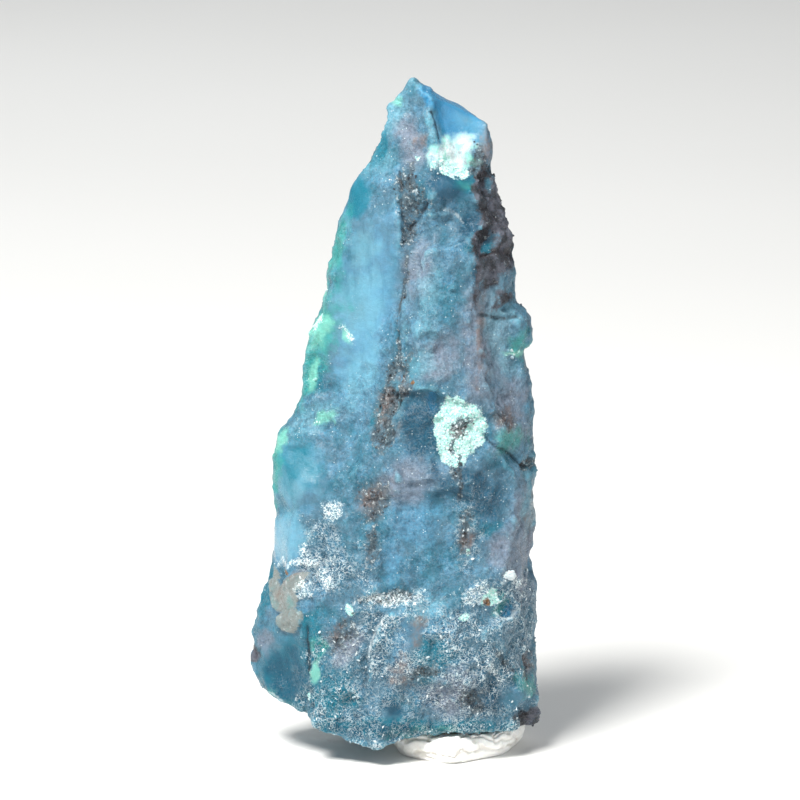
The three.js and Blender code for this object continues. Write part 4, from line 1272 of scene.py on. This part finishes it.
def opal_colours(wiring, settings):
    """Places the stone's colour group with the colours that the settings name."""
    colours = {name.title(): opaque(getattr(settings, name)) for name in STONE_COLOURS}
    return wiring.group(opal_colour_group(), **colours)


def opal_material(settings):
    """Waxy, faintly translucent opal, with grainy crusts where the masks say so."""
    material, wiring, shader = new_material("Blue opal")
    stone = opal_colours(wiring, settings)
    look = {
        "Base Color": stone["Color"],
        "Roughness": stone["Roughness"],
        "Coat Weight": stone["Gloss"],
        "Coat Roughness": 0.18,
        "IOR": 1.45,
        "Specular IOR Level": 0.2,
        "Normal": dented(wiring, stone["Height"], CRYSTAL_DENT),
        **scattering(settings.milkiness, (0.35, 0.8, 1.0), 1.2),
    }
    wiring.fill(shader, look)
    return material


def crystal_material(name, settings):
    """Small crystals: the stone's colour with another laid over it, more on some than others."""
    finish = FINISHES[name]
    material, wiring, shader = new_material(name)
    stone, draw = opal_colours(wiring, settings), wiring.mask("draw")
    share = wiring.ramp(draw, 0.0, 1.0, finish.least, finish.most)
    rough, polished = finish.roughness * 1.4, finish.roughness * 0.7
    look = {
        "Base Color": wiring.blend(stone["Color"], opaque(getattr(settings, finish.colour)), share),
        "Roughness": wiring.ramp(draw, 0.0, 1.0, rough, polished),
        "IOR": 1.54,
        **scattering(finish.milk, (0.5, 0.8, 0.9), 0.3),
    }
    wiring.fill(shader, look)
    return material


def putty_material(settings):
    """Dull white putty, greyed where it has been handled and darker in its creases."""
    material, wiring, shader = new_material("White putty")
    white, soil = opaque(settings.white), opaque(settings.soil)
    cloud = wiring.ramp(wiring.noise(1.4, 5, 0.6), 0.35, 0.65)
    handled = {"Mask": wiring.product(cloud, 0.6), "Grain": 2500.0, "Raggedness": 1.2, "Softness": 0.3}
    darkening = wiring.group(ragged_mask_group(), **handled)["Mask"]
    tone = wiring.blend(white, soil, wiring.product(darkening, 0.25))
    look = {
        # The creases are darker, with the same soil colour.
        "Base Color": wiring.blend(tone, soil, wiring.product(wiring.mask("crease"), 0.3)),
        "Roughness": wiring.ramp(cloud, 0.0, 1.0, 0.45, 0.6),
        "Normal": dented(wiring, wiring.noise(0.12, 4, 0.6), PUTTY_DENT),
        **scattering(0.15, (1.0, 0.8, 0.6), 0.5),
    }
    wiring.fill(shader, look)
    return material


def floor_material(settings):
    """A pale floor with the faintest clouds."""
    material, wiring, shader = new_material("Pale floor")
    clouds = wiring.ramp(wiring.noise(60, 2), 0.3, 0.7, 0.0, 0.06)
    tone = wiring.blend(opaque(settings.floor), (1, 1, 1, 1), clouds)
    wiring.fill(shader, {"Base Color": tone, "Roughness": 0.7, "Specular IOR Level": 0.2})
    return material


# ---- strewing crystals, grains and fibres

STREW_INPUTS = {
    "Geometry": "NodeSocketGeometry",
    "Shape": "NodeSocketObject",
    "Material": "NodeSocketMaterial",
    "Mask": "NodeSocketString",
    "Seed": "NodeSocketInt",
    **numbers("Spacing", "Crowding", "Smallest", "Largest", "Tilt", "Sink", "Lie"),
}
# The random draws of each grain: the step that is added to the seed, and the range.
LEAN_DRAW = (1, (-1, -1, -5), (1, 1, 5))
SIZE_DRAW = (2, 0.0, 1.0)
STRETCH_DRAW = (3, (0.8, 0.8, 0.75), (1.2, 1.2, 1.3))
SHADE_DRAW = (4, 0.0, 1.0)


@cache
def strewing_tree():
    """Strews a shape over a surface where a mask is strong, and gives only what it strewed."""
    geometry = {"Geometry": "NodeSocketGeometry"}
    wiring, given, result = new_group("Strewing", "GeometryNodeTree", STREW_INPUTS, geometry)

    def draw(step, low, high):
        """A random number or vector for each grain."""
        kind = "FLOAT_VECTOR" if isinstance(low, tuple) else "FLOAT"
        drawn = wiring.typed("FunctionNodeRandomValue", [low, high], data_type=kind)
        wiring.feed(drawn.node.inputs["Seed"], wiring.math("ADD", given["Seed"], step))
        return drawn

    def scaled(vector, amount):
        values = {0: vector, "Scale": amount}
        return wiring.made("ShaderNodeVectorMath", values, operation="SCALE")

    strength = wiring.typed("GeometryNodeInputNamedAttribute", [given["Mask"]], data_type="FLOAT")
    fibre_way = wiring.typed("GeometryNodeInputNamedAttribute", ["fibre_way"], data_type="FLOAT_VECTOR")
    spread = wiring.node("GeometryNodeDistributePointsOnFaces", distribute_method="POISSON")
    scatter = {"Mesh": given["Geometry"], "Distance Min": given["Spacing"], "Seed": given["Seed"]}
    scatter |= {"Density Max": given["Crowding"], "Density Factor": strength}
    wiring.fill(spread.inputs, scatter)

    along = wiring.made("FunctionNodeAlignRotationToVector", {"Vector": fibre_way}, axis="Z")
    ways = [given["Lie"], spread.outputs["Rotation"], along]
    laid = wiring.typed("ShaderNodeMix", ways, data_type="ROTATION")
    lean = wiring.made("FunctionNodeEulerToRotation", {0: scaled(draw(*LEAN_DRAW), given["Tilt"])})
    turned = wiring.made("FunctionNodeRotateRotation", {0: laid, 1: lean}, rotation_space="LOCAL")
    size = draw(*SIZE_DRAW)
    span = {0: wiring.product(size, size), 3: given["Smallest"], 4: given["Largest"]}
    stretch = scaled(draw(*STRETCH_DRAW), wiring.made("ShaderNodeMapRange", span))

    shape = wiring.made("GeometryNodeObjectInfo", {"Object": given["Shape"]}, "Geometry")
    standing = {"Points": spread.outputs["Points"], "Instance": shape, "Rotation": turned, "Scale": stretch}
    grains = wiring.made("GeometryNodeInstanceOnPoints", standing)
    down = wiring.made("ShaderNodeCombineXYZ", {"Z": wiring.product(given["Sink"], -1.0)})
    sunk = wiring.made("GeometryNodeTranslateInstances", {"Instances": grains, "Translation": down})
    shaded = wiring.typed(
        "GeometryNodeStoreNamedAttribute",
        [sunk, True, "draw", draw(*SHADE_DRAW)],
        domain="INSTANCE",
        data_type="FLOAT",
    )
    whole = wiring.made("GeometryNodeRealizeInstances", {"Geometry": shaded})
    painted = wiring.made("GeometryNodeSetMaterial", {"Geometry": whole, "Material": given["Material"]})
    wiring.feed(result["Geometry"], painted)
    return wiring.tree


def strewn_piece(name, shape, material):
    """Strews a shape over the stone's skin as one piece."""
    mesh = bpy.data.objects[SKIN].data.copy()
    mesh.transform(Matrix.Scale(1 / MM, 4))
    holder = holder_of(mesh)
    pattern = holder_of(shape)
    strewing = holder.modifiers.new("Strewing", "NODES")
    strewing.node_group = strewing_tree()
    inputs = {field.title(): value for field, value in STREWN[name]._asdict().items()}
    inputs |= {"Shape": pattern, "Material": material}
    for item in strewing.node_group.interface.items_tree:
        if item.name in inputs:
            strewing[item.identifier] = inputs[item.name]
    made = evaluated_mesh(holder)
    bpy.data.objects.remove(pattern)
    if not made.polygons:
        raise RuntimeError(f"nothing was strewn for {name}")
    finished_piece(name, made, material, smooth=False)


def ring_of(work, sides, radius, level, wobble=0.0):
    """A ring of points round the z axis. Every other one may be turned on by a wobble."""
    turns = [2 * math.pi * (k + wobble * (k % 2)) / sides for k in range(sides)]
    return [work.verts.new((radius * math.cos(a), radius * math.sin(a), level)) for a in turns]


def crystal_shape(sides, waist, tip):
    """A stubby crystal of unit height: a prism that tapers to an uneven point."""
    work = bmesh.new()
    low = ring_of(work, sides, waist, -0.2, 0.15)
    high = ring_of(work, sides, waist * 0.9, 0.45, 0.15)
    top = work.verts.new((tip, -tip / 2, 0.8))
    for k in range(sides):
        after = (k + 1) % sides
        work.faces.new((low[k], low[after], high[after], high[k]))
        work.faces.new((high[k], high[after], top))
    work.faces.new(list(reversed(low)))
    return closed_mesh(work)


def grain_shape(seed):
    """A rounded, uneven grain about one across."""
    work = bmesh.new()
    bmesh.ops.create_icosphere(work, subdivisions=1, radius=0.5)
    for k, vert in enumerate(work.verts):
        vert.co *= 0.8 + 0.4 * float(lattice(np.array([[k, seed, 0]]), seed)[0])
    return closed_mesh(work)


def fibre_shape():
    """A thin needle of unit length that tapers at both ends."""
    work = bmesh.new()
    ends = [work.verts.new((0, 0, -0.3)), work.verts.new((0, 0, 0.7))]
    ring = ring_of(work, 3, 0.11, 0.15)
    for k in range(3):
        after = (k + 1) % 3
        work.faces.new((ring[k], ring[after], ends[1]))
        work.faces.new((ring[after], ring[k], ends[0]))
    return closed_mesh(work)


# ---- bead, putty and stage


def spot_on_skin(place):
    """The point of the skin, in mm, that shows at a place on the front, and its normal."""
    skin = bpy.data.objects[SKIN].data
    faces = [tuple(p.vertices) for p in skin.polygons]
    tree = BVHTree.FromPolygons([v.co / MM for v in skin.vertices], faces)
    way = Vector((0, math.cos(SIGHT_ANGLE), -math.sin(SIGHT_ANGLE)))
    start = Vector((place[0], 0, place[1])) - way * SIGHT_START
    point, normal, _, _ = tree.ray_cast(start, way)
    if point is None:
        raise RuntimeError(f"nothing of the stone shows at {place}")
    return point, normal


def make_bead(settings):
    """A white bead, a little sunk in the stone."""
    point, normal = spot_on_skin(BEAD["at"])
    work = bmesh.new()
    bmesh.ops.create_icosphere(work, subdivisions=4, radius=1)
    turn = normal.to_track_quat("Z", "Y").to_matrix()
    spots = np.array([v.co for v in work.verts])
    swell = 1.1 + lumps(spots, "white bead") + knobs(spots, "white bead's pits", 0.0)
    for vert, scale in zip(work.verts, swell):
        ball = Vector(a * b * scale for a, b in zip(vert.co, BEAD["radii"]))
        vert.co = turn @ ball + point - normal * BEAD["sink"]
    finished_piece("white_bead", closed_mesh(work), crystal_material("White bead", settings))


def make_putty(settings):
    """The kneaded putty, creased and lumpy but flat where it stands."""
    surface = Surface(remeshed_node(PUTTY_NODE, settings.voxel))
    even_facets(surface, PUTTY_EVENING, PUTTY_ARRIS)
    points = surface.points
    folded = points + 0.4 * np.stack([layered_noise(points, 1.2, 500 + k) for k in range(3)], axis=1)
    creases = -np.exp(-((layered_noise(folded * (1, 1, 2.2), 1.6, 510, 2) / PUTTY_CREASE) ** 2))
    lift = settings.creases * creases + lumps(points, "putty")
    lift += lumps(points, "putty's grit")
    held = ramp(points[:, 2], 0.02, 0.3)
    surface.points += surface.normals * (lift * held)[:, None]
    surface.write()
    surface.keep("crease", -creases)
    finished_piece("putty_skin", surface.mesh, putty_material(settings), PUTTY_NODE)


def make_floor(settings):
    """A wide square floor under the putty."""
    work = bmesh.new()
    bmesh.ops.create_grid(work, x_segments=1, y_segments=1, size=FLOOR_REACH)
    mesh = mesh_from(work, "floor")
    mesh.materials.append(floor_material(settings))
    floor = bpy.data.objects.new("floor", mesh)
    bpy.context.collection.objects.link(floor)
    floor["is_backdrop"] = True


def make_lights(settings):
    """Even light from all round, and three square soft lights that look at the stone."""
    world = bpy.data.worlds.new("Studio")
    world.use_nodes = True
    background = world.node_tree.nodes["Background"].inputs
    background["Color"].default_value = SURROUNDINGS
    background["Strength"].default_value = settings.sky
    bpy.context.scene.world = world
    powers = {"key": settings.key, "fill": settings.fill, "back": settings.fill}
    for name, lamp in LAMPS.items():
        light = bpy.data.lights.new(name, "AREA")
        light.energy, light.size, light.color = powers[name], lamp.size, lamp.colour
        holder = bpy.data.objects.new(name, light)
        holder.location = lamp.at
        holder.rotation_euler = (AIM - Vector(lamp.at)).to_track_quat("-Z", "Y").to_euler()
        bpy.context.collection.objects.link(holder)


def make_camera(settings):
    """The camera looks down on the front at the angle of sight."""
    camera = bpy.data.cameras.new("camera")
    camera.lens = settings.lens
    camera.clip_start, camera.clip_end = CLIPPING
    reach = settings.height * settings.lens / camera.sensor_width
    holder = bpy.data.objects.new("camera", camera)
    away = Vector((0, -math.cos(SIGHT_ANGLE), math.sin(SIGHT_ANGLE)))
    holder.location = AIM + away * reach
    holder.rotation_euler = (math.pi / 2 - SIGHT_ANGLE, 0, 0)
    bpy.context.collection.objects.link(holder)
    bpy.context.scene.camera = holder
    bpy.context.scene.view_settings.view_transform = "Standard"


# ---- settings


def linear(screen):
    """A screen colour, 0 to 255, as the linear colour that Blender keeps."""
    shares = [value / 255 for value in screen]
    return tuple(s / 12.92 if s <= 0.04045 else ((s + 0.055) / 1.055) ** 2.4 for s in shares)


def opaque(colour):
    """A colour setting with full opacity."""
    return (*colour, 1)


def colour_setting(name, description, *screen):
    options = {"subtype": "COLOR", "size": 3, "min": 0, "max": 1, "default": linear(screen)}
    return FloatVectorProperty(name=name, description=description, **options)


def number_setting(name, description, default, **limits):
    return FloatProperty(name=name, description=description, default=default, **limits)


def count_setting(name, description, default):
    return IntProperty(name=name, description=description, default=default, min=0)


class OpalStoneSettings(PropertyGroup):
    voxel: number_setting("Mesh size (mm)", "Size of the skin's squares", 0.145, min=0.1)
    evening: count_setting("Evening rounds", "How far flat facets melt together", 16)
    arris: number_setting("Arris angle (degrees)", "Angle past which an edge stays sharp", 17)
    flush: count_setting("Filling rounds", "How flush the vein's pits are filled", 320)
    relief: number_setting("Relief", "Strength of the lumps and grains", 1.0, min=0, max=2)
    milkiness: number_setting(
        "Milkiness", "Share of light that scatters inside", 0.2, subtype="FACTOR", min=0, max=1
    )
    sky: colour_setting("Sky", "Clear blue of the smooth bands", 90, 146, 178)
    slate: colour_setting("Slate", "Grey blue of the main face", 78, 116, 136)
    azure: colour_setting("Azure", "Vivid blue of the scoop", 42, 126, 170)
    teal: colour_setting("Teal", "Green blue of the thin edges", 6, 106, 126)
    deep: colour_setting("Deep", "Dark blue of the hollows", 14, 64, 88)
    # Deep is also the painted shade in hollows, under rims and in grooves.
    mauve: colour_setting("Mauve", "Greyish pink blue of the right face", 130, 132, 146)
    # Glow is also the painted glow of thin places and the painted highlight on ridges.
    glow: colour_setting("Glow", "Pale cyan of thin places and arrises", 112, 170, 188)
    green: colour_setting("Green", "Sea green of the left edge", 56, 148, 142)
    jade: colour_setting("Jade", "Bright green of the lumps on the left edge", 118, 190, 174)
    mint: colour_setting("Mint", "Pale green of the crusts", 160, 226, 214)
    # Frost is also the colour of the painted glints and of the painted highlights along plate rims.
    frost: colour_setting("Frost", "Near white of the crystals", 226, 238, 240)
    cream: colour_setting("Cream", "Beige of the crust at the left foot", 136, 140, 134)
    rust: colour_setting("Rust", "Reddish brown of the veins", 126, 104, 94)
    # Umber is also the painted shade in the hollows of the veins.
    umber: colour_setting("Umber", "Dark brown of the matrix", 40, 34, 34)
    ash: colour_setting("Ash", "Grey of the vein's grains", 80, 92, 98)
    ember: colour_setting("Ember", "Orange brown of the small spots", 138, 100, 62)


class PuttySettings(PropertyGroup):
    voxel: number_setting("Mesh size (mm)", "Size of the putty's squares", 0.07, min=0.04)
    creases: number_setting("Creases (mm)", "Depth of the kneaded creases", 0.16, min=0)
    white: colour_setting("White", "Colour of clean putty", 255, 254, 250)
    soil: colour_setting("Soil", "Colour of handled putty", 186, 176, 160)


class StageSettings(PropertyGroup):
    height: number_setting("View (m)", "Height of the view at the stone", 0.04762, unit="LENGTH")
    lens: number_setting("Lens (mm)", "Focal length", 300.0)
    key: number_setting("Key (W)", "Power of the upper left light", 1.62)
    fill: number_setting("Fill (W)", "Power of the right light", 0.2)
    sky: number_setting("Surroundings", "Strength of the even light", 0.3)
    floor: colour_setting("Floor", "Colour of the floor", 232, 232, 230)


# ---- operators


class OPAL_OT_skin(Operator):
    """Build the opal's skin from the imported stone"""

    bl_idname = "opal.skin"
    bl_label = "Stone Skin"

    def execute(self, context):
        make_skin(context.scene.opal_stone)
        return {"FINISHED"}


class OPAL_OT_crystals(Operator):
    """Strew the small clear and white crystals"""

    bl_idname = "opal.crystals"
    bl_label = "Crystals"

    def execute(self, context):
        druse = crystal_material("Druse crystals", context.scene.opal_stone)
        frost = crystal_material("Frost crystals", context.scene.opal_stone)
        strewn_piece("foot_druse", crystal_shape(sides=5, waist=0.28, tip=0.08), druse)
        strewn_piece("frost_crystals", crystal_shape(sides=6, waist=0.3, tip=0.05), frost)
        return {"FINISHED"}


class OPAL_OT_grains(Operator):
    """Strew the brown and grey grains of the veins and the dark shoulder"""

    bl_idname = "opal.grains"
    bl_label = "Vein Grains"

    def execute(self, context):
        dark = crystal_material("Vein grains", context.scene.opal_stone)
        strewn_piece("vein_grains", crystal_shape(sides=5, waist=0.38, tip=0.12), dark)
        strewn_piece("shoulder_grains", grain_shape(seed=2), dark)
        return {"FINISHED"}


class OPAL_OT_fibres(Operator):
    """Grow the mint crusts' fibres outwards from their hearts"""

    bl_idname = "opal.fibres"
    bl_label = "Mint Fibres"

    def execute(self, context):
        minty = crystal_material("Mint fibres", context.scene.opal_stone)
        strewn_piece("mint_fibres", fibre_shape(), minty)
        strewn_piece("mint_grains", grain_shape(seed=3), minty)
        return {"FINISHED"}


class OPAL_OT_bead(Operator):
    """Set the white bead on the right of the foot"""

    bl_idname = "opal.bead"
    bl_label = "White Bead"

    def execute(self, context):
        make_bead(context.scene.opal_stone)
        return {"FINISHED"}


class OPAL_OT_putty(Operator):
    """Build the kneaded putty under the stone"""

    bl_idname = "opal.putty"
    bl_label = "Putty"

    def execute(self, context):
        make_putty(context.scene.opal_putty)
        return {"FINISHED"}


class OPAL_OT_stage(Operator):
    """Add the floor, lights and camera"""

    bl_idname = "opal.stage"
    bl_label = "Stage"

    def execute(self, context):
        settings = context.scene.opal_stage
        make_floor(settings)
        make_lights(settings)
        make_camera(settings)
        return {"FINISHED"}


class OPAL_PT_specimen(Panel):
    """Settings and steps of the specimen"""

    bl_label = "Blue Opal Specimen"
    bl_space_type = "VIEW_3D"
    bl_region_type = "UI"
    bl_category = "Specimen"

    def draw(self, context):
        for label, name in (("Stone", "opal_stone"), ("Putty", "opal_putty"), ("Stage", "opal_stage")):
            box = self.layout.box()
            box.label(text=label)
            settings = getattr(context.scene, name)
            for key in settings.__annotations__:
                box.prop(settings, key)
        for operator in OPERATORS:
            self.layout.operator(operator.bl_idname)


OPERATORS = (
    OPAL_OT_skin,
    OPAL_OT_crystals,
    OPAL_OT_grains,
    OPAL_OT_fibres,
    OPAL_OT_bead,
    OPAL_OT_putty,
    OPAL_OT_stage,
)
SETTINGS = {"opal_stone": OpalStoneSettings, "opal_putty": PuttySettings, "opal_stage": StageSettings}
MODEL_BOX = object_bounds()


def register():
    for kind in (*SETTINGS.values(), *OPERATORS, OPAL_PT_specimen):
        bpy.utils.register_class(kind)
    for name, kind in SETTINGS.items():
        setattr(bpy.types.Scene, name, PointerProperty(type=kind))


def unregister():
    for name in SETTINGS:
        delattr(bpy.types.Scene, name)
    for kind in reversed((*SETTINGS.values(), *OPERATORS, OPAL_PT_specimen)):
        bpy.utils.unregister_class(kind)


def main():
    register()
    for operator in OPERATORS:
        family, name = operator.bl_idname.split(".")
        getattr(getattr(bpy.ops, family), name)()


if __name__ == "__main__":
    main()
